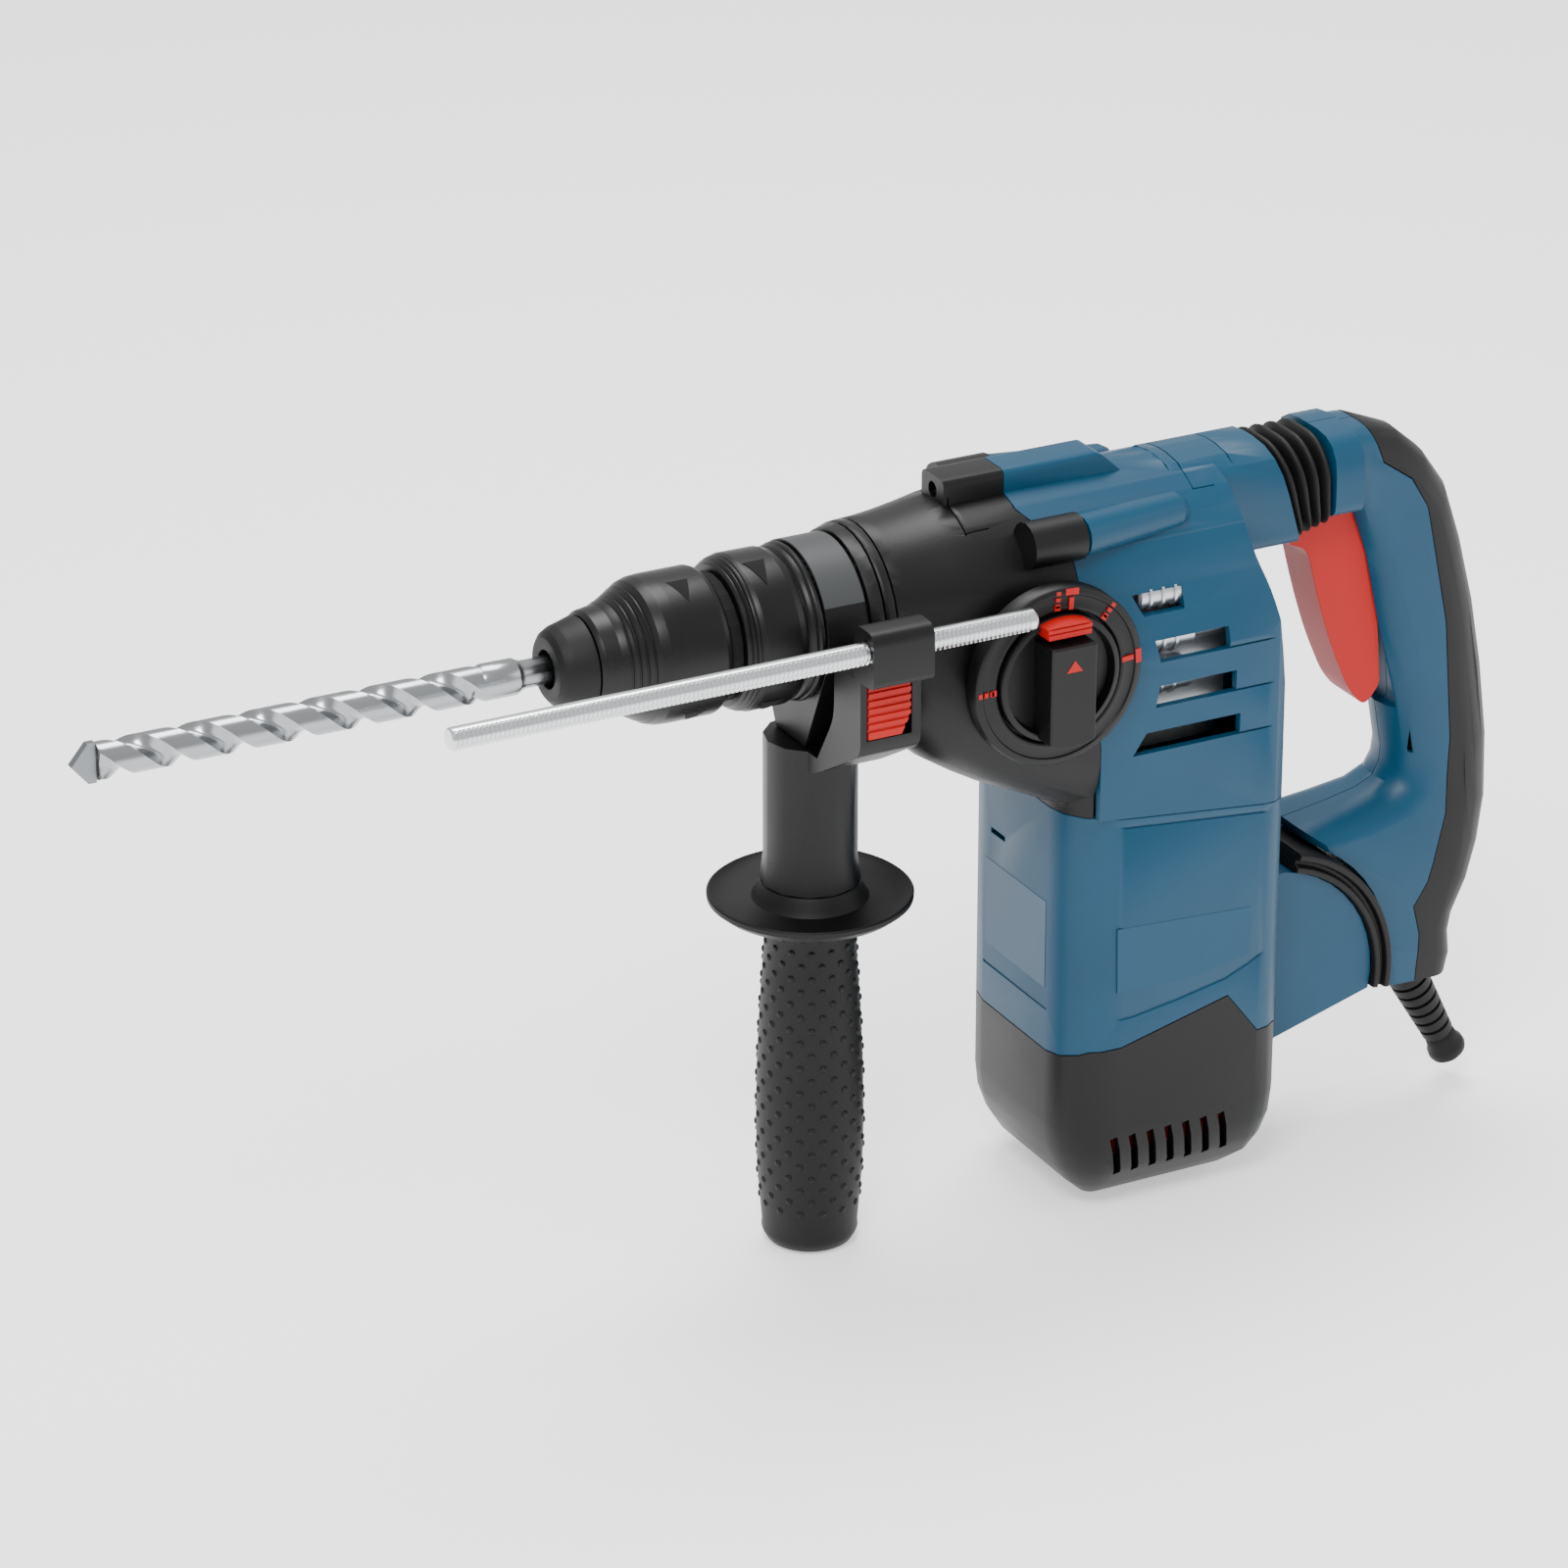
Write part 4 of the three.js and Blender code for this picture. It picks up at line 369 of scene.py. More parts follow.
motor_housing = dressed("motor_housing", blue_nylon, "casing")
front_x = motor_low.x
lines = bmesh.new()
contour = [(front_x - 2, -161.6), (front_x + 10, -161.6), (211.8, -161.5), (231, -158.6), (250.2, -154.9),
           (259.8, -151), (268.1, -146.8)]
line = [(x, z + CONTOUR_WIDTH) for x, z in contour] + contour[::-1]
add_prism(lines, line, "y", side_y - 2, side_y + 0.5)
add_prism(lines, line, "y", -side_y - 0.5, -side_y + 2)
add_block(lines, (front_x - 1, -23, -161.6), (front_x + 0.5, 23, -161.6 + CONTOUR_WIDTH))
add_block(lines, (front_x - 1, 8.5, -107.8), (front_x + 2, 18.5, -105.9))
seam = [(201, -85.4), (motor_high.x - 1, -93)]
for side in (1, -1):
    add_prism(lines, [(x, z + 0.6) for x, z in seam] + seam[::-1], "y",
              side * side_y - 0.5, side * side_y + 0.5)
carve(motor_housing, lines)
soften(motor_housing, 0.7)

# ---- Blank rating plates -------------------------------------------------------------------------
# Printed foil labels, darker than the housing, pressed into shallow recesses. They carry no text.
# Printed polyester foil: smoother and a little darker than the nylon that it is pressed on.
label_foil, label_shader = new_material("printed_label_foil", "#083f5a", 0.34)
grain(label_foil, label_shader, 1.5, 0.005)
FOIL = 0.12  # how far a label stands proud
near_label = bmesh.new()
add_prism(near_label, [(204.5, -125), (260, -128), (259.5, -146.5), (240, -150.5), (205, -150.5)], "y",
          side_y - FOIL, side_y + 0.3)
front_label = bmesh.new()
add_block(front_label, (front_x - FOIL, -22, -153), (front_x + 0.3, 22, -119))
new_piece("side_rating_plate", placed(near_label), label_foil, "casing")
new_piece("front_rating_plate", placed(front_label), label_foil, "casing")

# ---- Black gearbox shell, motor cap and their details --------------------------------------------
# The same nylon in black, with a slightly coarser grain. The gearbox shell carries three screw bosses
# on its top, and the cap lets cooling air in through slanted slots, with a red filter mesh behind.
# Moulded black nylon: near black, with soft highlights that its coarser grain spreads.
black_nylon, black_shader = new_material("moulded_black_nylon", "#050506", 0.42)
grain(black_nylon, black_shader, 0.9, 0.03, "#070708")
gearbox_shell = dressed("gearbox_shell", black_nylon, "casing")
outline = bmesh.new()
shell_radius = 34.6
INSERT_LINE = 152.6
INSERT_TURN = 37
low_radius, high_radius = shell_radius - GROOVE, shell_radius + 4
for side in (1, -1):
    add_ring(outline, [(INSERT_LINE, low_radius), (INSERT_LINE, high_radius),
                       (INSERT_LINE + GROOVE, high_radius), (INSERT_LINE + GROOVE, low_radius)],
             segments=16, sweep=INSERT_TURN * side)
    y = -side * shell_radius * math.sin(math.radians(INSERT_TURN))
    z = shell_radius * math.cos(math.radians(INSERT_TURN))
    add_block(outline, (INSERT_LINE - 0.1, y - 0.25, z - 0.6), (162, y + 0.25, z + 5))
for x in (116.4, 120.6):
    floor_radius = 28.6 + (x - 112) * 0.1
    add_ring(outline, [(x, floor_radius), (x, 36), (x + 0.7, 36), (x + 0.7, floor_radius)], segments=72)
carve(gearbox_shell, outline)
soften(gearbox_shell, 0.7)

soften(dressed("motor_cap", black_nylon, "casing"), 0.7)
# Woven polyester mesh: a dull dark red with the weave's roughness, seen only through the slots.
filter_mesh, filter_shader = new_material("woven_filter_mesh", "#8c1410", 0.6)
grain(filter_mesh, filter_shader, 1.0, 0.2, "#6d0f0c")
filters = bmesh.new()
for side in (1, -1):
    middle_y = 37 * side
    verts = add_block(filters, (motor_low.x + 14, middle_y - 0.4, -226),
                      (motor_high.x - 12, middle_y + 0.4, -209))
    bmesh.ops.rotate(filters, verts=verts, cent=(0, middle_y, -209),
                     matrix=Matrix.Rotation(math.radians(-30 * side), 3, "X"))
new_piece("air_filters", placed(filters), filter_mesh, "casing")

# ---- Air guide behind the vents ------------------------------------------------------------------
# Ribbed tubes that lead the fan's air along the gears, cast in one piece with their back plate. They
# show between the slats of the upper housing.
# Die-cast aluminium, as cast: bright grey with a fine pebbled skin and wide soft highlights.
cast_aluminium, cast_shader = new_material("die_cast_aluminium", "#c2c5c8", 0.38, 1.0)
grain(cast_aluminium, cast_shader, 1.2, 0.04)
guide = bmesh.new()
for z, radius in ((-2, 5), (-18, 6.5), (-35, 5.5)):
    tube = [(214, 0), (214, radius - 1), (215, radius), (236, radius), (237, radius - 2), (252, radius - 2),
            (252, 0)]
    add_ring(guide, tube, centre=(0, side_y + 11, z), segments=40, closed=False)
    for rib in range(3):
        add_ring(guide, [(218 + 5 * rib, 2), (218 + 5 * rib, radius + 0.8), (219 + 5 * rib, radius + 0.8),
                         (219 + 5 * rib, 2)], centre=(0, side_y + 11, z), segments=40)
add_block(guide, (212, side_y + 12, -50), (253, side_y + 14, 6))
new_piece("air_guide", placed(guide), cast_aluminium, "casing")

# ---- Mode selector -------------------------------------------------------------------------------
# A black bezel ring on the gearbox's side, with a round knob in its well. The knob has a bar to hold
# it by, a red lock button at the bar's top and a red pointer, and red mode pictograms stand round it.
# Moulded ABS in signal red: brighter and smoother than the nylon.
red_abs, red_shader = new_material("moulded_red_abs", "#a80300", 0.5)
grain(red_abs, red_shader, 0.8, 0.01)
bezel_low, bezel_high = reach("selector_bezel")
knob_low, knob_high = reach("selector_knob")
bezel_radius = (bezel_high.x - bezel_low.x) / 2
knob_radius = (knob_high.x - knob_low.x) / 2
knob_middle = ((bezel_low.x + bezel_high.x) / 2, 0, (bezel_low.z + bezel_high.z) / 2)
face = bezel_low.y
well = knob_radius + 0.5
bezel = bmesh.new()
add_ring(bezel, [(bezel_high.y, 12), (face + 4, 12), (face + 4, well), (face + 0.8, well),
                 (face + 0.2, well + 0.6), (face + 0.2, well + 1.8), (face + 0.5, well + 2.2),
                 (face + 0.5, bezel_radius - 3.2),
                 (face, bezel_radius - 2.8), (face, bezel_radius - 1), (face + 0.8, bezel_radius - 0.2),
                 (bezel_high.y, bezel_radius)], axis="y", centre=knob_middle, segments=128)
new_piece("selector_bezel_ring", placed(bezel), black_nylon, "casing", ["selector_bezel"], 50)

disc_face = knob_low.y + 9
knob = bmesh.new()
add_ring(knob, [(knob_high.y, 0), (knob_high.y, 5), (face + 3.5, 5), (face + 3.5, knob_radius - 0.4),
                (disc_face + 0.6, knob_radius - 0.4), (disc_face, knob_radius - 1),
                (disc_face, knob_radius - 2.6), (disc_face + 3.5, knob_radius - 3.6), (disc_face + 3.5, 0)],
         axis="y", centre=knob_middle, segments=128, closed=False)
new_piece("selector_knob_turned", placed(knob), black_nylon, "selector", ["selector_knob"], 50)
bar_half = 9
bar_reach = knob_radius - 1.2
bar = bmesh.new()
kx, kz = knob_middle[0], knob_middle[2]
half = math.sqrt(bar_reach ** 2 - bar_half ** 2)
rounded_bar = [(kx - bar_half, kz - half)]
rounded_bar += [(kx + bar_reach * math.sin(math.radians(a)), kz - bar_reach * math.cos(math.radians(a)))
                for a in range(-20, 21, 5)]
bar_top = kz + half - 5.5
rounded_bar += [(kx + bar_half, kz - half), (kx + bar_half, bar_top), (kx - bar_half, bar_top)]
add_prism(bar, rounded_bar, "y", knob_low.y, face + 3)
soften(new_piece("selector_bar", placed(bar), black_nylon, "selector"), 0.8, 3)
pointer = bmesh.new()
add_prism(pointer, [(kx - 3.2, kz + 6), (kx + 3.2, kz + 6), (kx, kz + 10.2)], "y",
          knob_low.y - 0.15, knob_low.y + 0.5)
new_piece("selector_pointer", placed(pointer), red_abs, "selector")

button = bmesh.new()
arc_radius = knob_radius - 0.6
button_foot = kz + half - 3.2
cap_arc = [(kx + arc_radius * math.sin(math.radians(a)), kz + arc_radius * math.cos(math.radians(a)))
           for a in range(-22, 23, 4)]
add_prism(button, [(kx - 8.4, button_foot), *cap_arc, (kx + 8.4, button_foot)], "y",
          knob_low.y + 3.4, disc_face + 4)
lock_button = new_piece("unlock_button_moulded", placed(button), red_abs, "unlock_button",
                        ["unlock_button"])
grips = bmesh.new()
for i in range(3):
    z = kz + half - 1.4 + 1.9 * i
    add_block(grips, (kx - 10, knob_low.y + 3, z), (kx + 10, knob_low.y + 3.9, z + 0.7))
carve(lock_button, grips)
soften(lock_button, 0.3)

PICTOGRAM = 0.15  # how far a printed bar stands proud
icon_middle = (bezel_radius + well) / 2 + 0.4


def pictogram(bm, turn, drill, hammer):
    """Bars for a drill bit and a hammer head at an angle on the bezel's rim, clockwise from the top."""
    bars = []
    if drill:
        shift = -3.2 if hammer else 0
        bars += [(shift - 0.9, -3.2 + 2.3 * i, shift + 0.9, -1.8 + 2.3 * i) for i in range(3)]
        bars.append((shift - 1.1, -4.2, shift + 1.1, -2.4))
    if hammer:
        shift = 2.2 if drill else 0
        bars += [(shift - 2.6, 1.2, shift + 2.6, 3.4), (shift - 0.9, -4.2, shift + 0.9, 0.3)]
    for x0, z0, x1, z1 in bars:
        verts = add_block(bm, (x0, face - PICTOGRAM, z0 + icon_middle), (x1, face + 0.6, z1 + icon_middle))
        bmesh.ops.rotate(bm, verts=verts, cent=(0, 0, 0), matrix=Matrix.Rotation(math.radians(turn), 3, "Y"))
        bmesh.ops.translate(bm, verts=verts, vec=(kx, 0, kz))


icons = bmesh.new()
pictogram(icons, 4, True, True)
pictogram(icons, 42, True, False)
pictogram(icons, 86, False, True)
pictogram(icons, -92, True, False)
new_piece("mode_pictograms", placed(icons), red_abs, "casing")

# ---- Chuck: dust cap, locking sleeve and lock ring -----------------------------------------------
# A rubber dust cap snaps over the nose. Behind it a hard plastic sleeve is pulled back to free the
# bit, and a lock ring is turned to change the whole chuck. Both are turned shapes with fine grip
# grooves, and each has black arrow heads let into its surface.
# Hard moulded nylon: near black and a little glossier than the shells, because hands polish it.
chuck_nylon, chuck_shader = new_material("moulded_chuck_nylon", "#060607", 0.36)
grain(chuck_nylon, chuck_shader, 0.6, 0.015, "#08080a")
# Moulded nitrile rubber: a dull black skin that only shows wide faint highlights.
rubber, rubber_shader = new_material("moulded_rubber", "#050505", 0.55)
grain(rubber, rubber_shader, 0.5, 0.03)
# Matt black paint: the arrow heads' own black print in their recesses, darker than the plastic round it,
# with almost no shine. On the tool holder the same black is painted shade for the dark valley between the
# sleeve and the lock ring.
black_marks_and_shade, black_marks_and_shade_shader = new_material("black_marks_and_painted_shade", "#020202", 0.8)
grain(black_marks_and_shade, black_marks_and_shade_shader, 0.5, 0.01)


def turned_piece(name, profile, rounding, material, slot, body, stands_for, sharp=40, **place):
    """A turned shape whose profile corners are eased by vertex rounding."""
    bm = bmesh.new()
    corners = [bm.verts.new((a, 0, r)) for a, r in profile]
    for pair in zip(corners, corners[1:] + corners[:1]):
        bm.edges.new(pair)
    bmesh.ops.bevel(bm, geom=corners, offset=rounding, segments=3, profile=0.5, affect="VERTICES",
                    material=-1)
    edge = next(iter(bm.edges))
    eased = [edge.verts[0], edge.verts[1]]
    while True:
        onward = [e.other_vert(eased[-1]) for e in eased[-1].link_edges]
        onward = [v for v in onward if v is not eased[-2]]
        if not onward or onward[0] is eased[0]:
            break
        eased.append(onward[0])
    points = [(v.co.x, v.co.z) for v in eased]
    bm.free()
    bm = bmesh.new()
    add_ring(bm, points, **place)
    return new_piece(name, placed(bm), material, body, stands_for, sharp)


def groove(profile, stations, width=0.5, depth=0.45):
    """The outer points of a profile with square grooves cut at some stations along it."""
    points = []
    for (a0, r0), (a1, r1) in zip(profile, profile[1:]):
        points.append((a0, r0))
        for s in stations:
            if a0 < s < a1:
                r = r0 + (r1 - r0) * (s - a0) / (a1 - a0)
                foot = width * 0.6
                points += [(s - width, r), (s - foot, r - depth), (s + foot, r - depth), (s + width, r)]
    return points + [profile[-1]]


cap_a, cap_b = reach("dust_cap")
x0, x1 = cap_a.x, cap_b.x
cap_profile = [(x0, 6.9), (x0, 11.2), (x0 + 1.6, 13.2), (x0 + 4.5, 14.6), (x0 + 8.5, 15.6), (x1 - 0.4, 16.7),
               (x1, 16.3), (x1, 11.4), (x0 + 3, 11.4), (x0 + 3, 6.9)]
turned_piece("dust_cap_moulded", cap_profile, 0.25,
             rubber, "joint_rubber", "spindle", ["dust_cap"])
sleeve_a, sleeve_b = reach("locking_sleeve")
x0, x1 = sleeve_a.x, sleeve_b.x
sleeve_radius = sleeve_b.z
outer = [(x0, 16.9), (x0 + 1.7, 18), (x0 + 7.2, 18.8), (x0 + 11.8, 20.6), (x0 + 16.2, 22.9), (x0 + 19.4, 25),
         (x0 + 22.7, 26), (x0 + 27, sleeve_radius), (x1 - 2.5, sleeve_radius), (x1 - 0.8, 25.6), (x1, 25)]
outer = groove(outer, [x0 + s for s in (10.2, 12.6, 14.9, 17.2)])
bore = [(x1, 23.4), (x0 + 23.7, 23.4), (x0 + 23.7, 12.1), (x0 + 14.2, 12.1), (x0 + 14.2, 14.8), (x0, 14.8)]
turned_piece("locking_sleeve_moulded", outer + bore, 0.12,
             chuck_nylon, "chuck_black", "locking_sleeve", ["locking_sleeve"])
ring_a, ring_b = reach("lock_ring")
x0, x1 = ring_a.x, ring_b.x
ring_radius = ring_b.z
outer = [(x0, ring_radius - 3.3), (x0 + 3.4, ring_radius - 1.1), (x0 + 6.6, ring_radius - 0.2),
         (x1 - 9, ring_radius - 0.3), (x1 - 6.4, ring_radius - 1.2), (x1 - 5.4, ring_radius - 2.4),
         (x1 - 4.4, ring_radius - 1.2), (x1 - 1.3, ring_radius), (x1, ring_radius - 0.3)]
outer = groove(outer, [x0 + s for s in (1.4, 2.8, 4.4)], 0.4, 0.4)
outer = groove(outer, [x1 - 2.6], 0.5, 0.5)
turned_piece("lock_ring_moulded", outer + [(x1, 23.3), (x0 + 4, 23.3), (x0 + 4, 16.7), (x0, 16.7)], 0.12,
             chuck_nylon, "chuck_black", "lock_ring", ["lock_ring"])


ARROWS_ROUND = 3
ARROW_SPAN = 24  # degrees round the axis
ARROW_LENGTH = 8.2
ARROW_SKIN = 0.6


def arrow_head(name, x, radius, turn, body):
    """Triangles of thin skin on a turned surface, spaced evenly and pointing round the axis."""
    bm = bmesh.new()
    for copy in range(ARROWS_ROUND):
        grid = bmesh.ops.create_grid(bm, x_segments=6, y_segments=10, size=0.5)["verts"]
        for v in grid:
            along, across = v.co.x, v.co.y + 0.5
            angle = -math.radians(turn + 360 / ARROWS_ROUND * copy + ARROW_SPAN * across)
            width = ARROW_LENGTH * (1 - across)
            v.co = (x + along * width, radius * math.sin(angle), radius * math.cos(angle))
    bmesh.ops.remove_doubles(bm, verts=bm.verts, dist=0.02)
    walls = bmesh.ops.extrude_face_region(bm, geom=bm.faces[:], use_keep_orig=True)["geom"]
    for v in [e for e in walls if isinstance(e, bmesh.types.BMVert)]:
        v.co.yz = v.co.yz * ((radius - ARROW_SKIN) / radius)
    bmesh.ops.recalc_face_normals(bm, faces=bm.faces)
    new_piece(name, placed(bm), black_marks_and_shade, body)


arrow_head("sleeve_arrows", 48.6, sleeve_radius + 0.06, 12, "locking_sleeve")
arrow_head("ring_arrows", 77.8, ring_radius + 0.04, 12, "lock_ring")

# ---- Drill bit -----------------------------------------------------------------------------------
# Shot-blasted and ground tool steel with two wide flutes and a slotted shank. A sintered carbide
# plate is brazed across its end.
# Ground tool steel: bright, with fine marks across the flutes that vary its gloss.
bit_steel, steel_shader = new_material("ground_tool_steel", "#9a9da0", 0.2, 1.0)
place = add_node(bit_steel, "ShaderNodeTexCoord")
# Marks about 17 mm long and 2 mm wide, coarser than real grinding marks so that they show.
stretch = add_node(bit_steel, "ShaderNodeMapping", {"Scale": (60, 500, 500)},
                   {"Vector": place.outputs["Object"]})
scratches = add_node(bit_steel, "ShaderNodeTexNoise", {"Scale": 1.0, "Detail": 3.0},
                     {"Vector": stretch.outputs["Vector"]})
sheen = add_node(bit_steel, "ShaderNodeMapRange", {"To Min": 0.14, "To Max": 0.34},
                 {"Value": scratches.outputs["Fac"]})
bit_steel.node_tree.links.new(sheen.outputs["Result"], steel_shader.inputs["Roughness"])
bit_a, bit_b = reach("drill_bit")
bit_radius = bit_b.z
FLUTE_LEAD = 44
FLUTE_DEPTH = 3.1
SHANK_RADIUS = 5
flute_start, flute_end = bit_a.x, -24
bit = bmesh.new()
TURN_STEPS = 132
ROUND = 40
ring = []
for k in range(ROUND):
    angle = 2 * math.pi * k / ROUND
    dip = max(0, math.cos(2 * angle)) ** 0.8
    radius = bit_radius - FLUTE_DEPTH * dip
    ring.append(bit.verts.new((flute_start, radius * math.cos(angle), radius * math.sin(angle))))
ring_edges = [bit.edges.new((ring[k], ring[(k + 1) % ROUND])) for k in range(ROUND)]
span = flute_end - flute_start
bmesh.ops.spin(bit, geom=ring + ring_edges, cent=(0, 0, 0), axis=(1, 0, 0), dvec=(span / TURN_STEPS, 0, 0),
               angle=2 * math.pi * span / FLUTE_LEAD, steps=TURN_STEPS, use_merge=False, use_duplicate=False)
bmesh.ops.holes_fill(bit, edges=[e for e in bit.edges if e.is_boundary], sides=0)
bmesh.ops.recalc_face_normals(bit, faces=bit.faces)
shank = [(flute_end - 3, 0), (flute_end - 3, 4.2), (flute_end, bit_radius - 0.6),
         (flute_end + 1.5, bit_radius), (-11, bit_radius), (-10.2, bit_radius - 0.5), (-8, SHANK_RADIUS),
         (45, SHANK_RADIUS), (46, SHANK_RADIUS - 1), (46, 0)]
add_ring(bit, shank, segments=64, closed=False)
bit_piece = new_piece("drill_bit_ground", placed(bit), bit_steel, "bit", ["drill_bit"], 50)
slots = bmesh.new()
for side in (1, -1):
    slot_middle = (SHANK_RADIUS + 0.1) * side
    add_block(slots, (4.5, slot_middle - 1.3, -1.5), (48, slot_middle + 1.3, 1.5))
    add_block(slots, (29, -3, slot_middle - 1.5), (45, 3, slot_middle + 1.5))
carve(bit_piece, slots, 50)
# Sintered tungsten carbide: a darker, duller grey than the steel.
carbide, carbide_shader = new_material("sintered_carbide", "#7d8083", 0.35, 1.0)
grain(carbide, carbide_shader, 0.8, 0.01)
soften(dressed("carbide_tip", carbide, "bit"), 0.25)

# ---- Side handle ---------------------------------------------------------------------------------
# A strap grips the 50 mm collar, and its head and neck are black nylon. Over the tie bolt sits the
# rubber grip, with a hand guard and rows of small pips, which tightens the strap when it is turned.
# Moulded grey nylon: the strap's face, a mid grey with the same satin grain.
grey_nylon, grey_shader = new_material("moulded_grey_nylon", "#3b3d3e", 0.45)
grain(grey_nylon, grey_shader, 0.7, 0.02)
band_a, band_b = reach("clamp_band")
strap_x = (band_a.x + band_b.x) / 2
strap_radius = band_b.z
soften(dressed("clamp_band", black_nylon, "side_handle"), 0.5)
strap = bmesh.new()
SKIN = 0.25
add_ring(strap, [(band_a.x + 0.2, strap_radius - 0.3), (band_a.x + 0.2, strap_radius + SKIN),
                 (band_b.x - 0.2, strap_radius + SKIN), (band_b.x - 0.2, strap_radius - 0.3)],
         segments=72, sweep=125, start=-62.5)
soften(new_piece("strap_face", placed(strap), grey_nylon, "side_handle"), 0.15)
soften(dressed("handle_head", black_nylon, "side_handle"), 0.8, 3)

grip_a, grip_b = reach("side_grip")
rim = -106
grip_radius = 19.4
bottom = grip_a.z
BOLT_HOLE = 4.5
grip_shape = [(grip_b.z, BOLT_HOLE), (grip_b.z, 17.6), (grip_b.z - 1.4, 18.6), (rim + 1.2, 19.6),
              (rim - 0.6, 21), (rim - 1.2, 31), (rim + 0.6, 35), (rim + 1.4, 36.2), (rim + 0.8, 36.9),
              (rim - 0.8, 36.8),
              (rim - 3.6, 33.5), (rim - 5.6, 22), (rim - 7.5, 17.6), (rim - 14, 16.3), (rim - 26, 16.9),
              (rim - 45, 18.1), (rim - 68, 19.1), (rim - 90, grip_radius), (rim - 108, 19), (rim - 121, 18),
              (bottom + 7, 17.3), (bottom + 4.8, 17.5), (bottom + 3.4, 17), (bottom + 1, 15.6),
              (bottom, 13.8)]
grip = bmesh.new()
add_ring(grip, grip_shape + [(bottom, 0), (rim - 92, 0), (rim - 92, BOLT_HOLE)], axis="z",
         centre=(strap_x, 0, 0), segments=96)
PIP_ROW = 4.9
PIPS_ROUND = 14
PIP = (0.8, 1.35, 1.35)  # half sizes: out from the grip, round it and along it
first_row = rim - 12
rows = int((first_row - bottom - 10) / PIP_ROW)
side_shape = grip_shape[11:-2]
for row in range(rows):
    z = first_row - row * PIP_ROW
    under = max((p for p in side_shape if p[0] <= z), key=lambda p: p[0])
    over = min((p for p in side_shape if p[0] > z), key=lambda p: p[0])
    radius = under[1] + (over[1] - under[1]) * (z - under[0]) / (over[0] - under[0])
    for k in range(PIPS_ROUND):
        angle = 2 * math.pi * (k + 0.5 * (row % 2)) / PIPS_ROUND
        pip_place = Matrix.Translation((strap_x, 0, z)) @ Matrix.Rotation(angle, 4, "Z")
        pip_place = pip_place @ Matrix.Translation((radius - 0.1, 0, 0)) @ Matrix.Diagonal((*PIP, 1))
        bmesh.ops.create_icosphere(grip, subdivisions=2, radius=1, matrix=pip_place)
new_piece("side_grip_moulded", placed(grip), rubber, "side_grip", ["side_grip"], 40)

# ---- Depth stop ----------------------------------------------------------------------------------
# A zinc-plated steel rod with teeth rolled along both flanks slides through the handle's head. The
# red button at its side frees it, and its ribs give the thumb a hold.
# Zinc-plated steel: a bright pale grey, a little cloudy, which keeps sharp highlights.
plated_steel, plated_shader = new_material("zinc_plated_steel", "#dcdee0", 0.22, 1.0)
grain(plated_steel, plated_shader, 0.6, 0.008)
rod_a, rod_b = reach("depth_rod")
rod_radius = (rod_b.z - rod_a.z) / 2
TOOTH_PITCH = 1.7
TOOTH_DEPTH = 0.75
CHAMFER = 0.6
rod = bmesh.new()
centre_y, centre_z = (rod_a.y + rod_b.y) / 2, (rod_a.z + rod_b.z) / 2
turn = Matrix.Translation((rod_a.x, centre_y, centre_z)) @ Matrix.Rotation(math.pi / 2, 4, "Y")
bmesh.ops.create_circle(rod, cap_ends=True, segments=28, radius=rod_radius - CHAMFER, matrix=turn)
edges = rod.edges[:]
stations = [(rod_a.x + 0.8, False)]
teeth = int((rod_b.x - rod_a.x - 3) / TOOTH_PITCH)
for i in range(teeth):
    start = rod_a.x + 1.2 + i * TOOTH_PITCH
    stations += [(start + 0.1, True), (start + 0.45, True), (start + 0.85, False), (start + 1.35, False)]
stations += [(rod_b.x - 0.8, False), (rod_b.x, None)]
for x, valley in stations:
    added = bmesh.ops.extrude_edge_only(rod, edges=edges)["geom"]
    verts = [g for g in added if isinstance(g, bmesh.types.BMVert)]
    edges = [g for g in added if isinstance(g, bmesh.types.BMEdge)]
    for v in verts:
        arm = Vector((0, v.co.y - centre_y, v.co.z - centre_z)).normalized()
        r = rod_radius - (CHAMFER if valley is None else 0)
        if valley and abs(arm.y) > 0.62:
            r -= TOOTH_DEPTH
        v.co = Vector((x, centre_y, centre_z)) + arm * r
bmesh.ops.holes_fill(rod, edges=[e for e in rod.edges if e.is_boundary], sides=0)
bmesh.ops.recalc_face_normals(rod, faces=rod.faces)
new_piece("depth_rod_rolled", placed(rod), plated_steel, "depth_rod", ["depth_rod"], 30)

stop_a, stop_b = reach("depth_stop_button")
thumb = bmesh.new()
add_prism(thumb, [(stop_a.x, stop_b.z), (stop_b.x, stop_b.z), (stop_b.x, stop_a.z + 7),
                  (stop_b.x - 3.5, stop_a.z), (stop_a.x, stop_a.z)], "y", stop_a.y, stop_b.y)
thumb_piece = new_piece("depth_stop_button_moulded", placed(thumb), red_abs,
                        "depth_stop_button", ["depth_stop_button"])
THUMB_RIBS = 6
RIB_PITCH = 2.9
ribs = bmesh.new()
for i in range(THUMB_RIBS):
    z = stop_b.z - 3.2 - i * RIB_PITCH
    add_block(ribs, (stop_a.x - 1, stop_a.y - 1, z - 0.55), (stop_b.x + 1, stop_a.y + 0.7, z + 0.55))
carve(thumb_piece, ribs)
soften(thumb_piece, 0.2)

# ---- D-handle ------------------------------------------------------------------------------------
# Two blue nylon half shells are screwed together on the middle plane, and a soft rubber overmould
# covers the back where the palm lies. Rubber bellows and a rubber ring keep vibration from them.
# Overmoulded thermoplastic rubber: matt black with a coarse pebbled grip.
soft_rubber, soft_shader = new_material("overmoulded_soft_rubber", "#050506", 0.5)
grain(soft_rubber, soft_shader, 0.45, 0.035)
for node in ("handle_shell_near", "handle_shell_far"):
    soften(dressed(node, blue_nylon, "rear_handle", 40), 0.4)
soften(dressed("soft_grip", soft_rubber, "rear_handle", 40), 0.7, 3)
soften(dressed("trigger", red_abs, "trigger", 40), 1.2, 4)
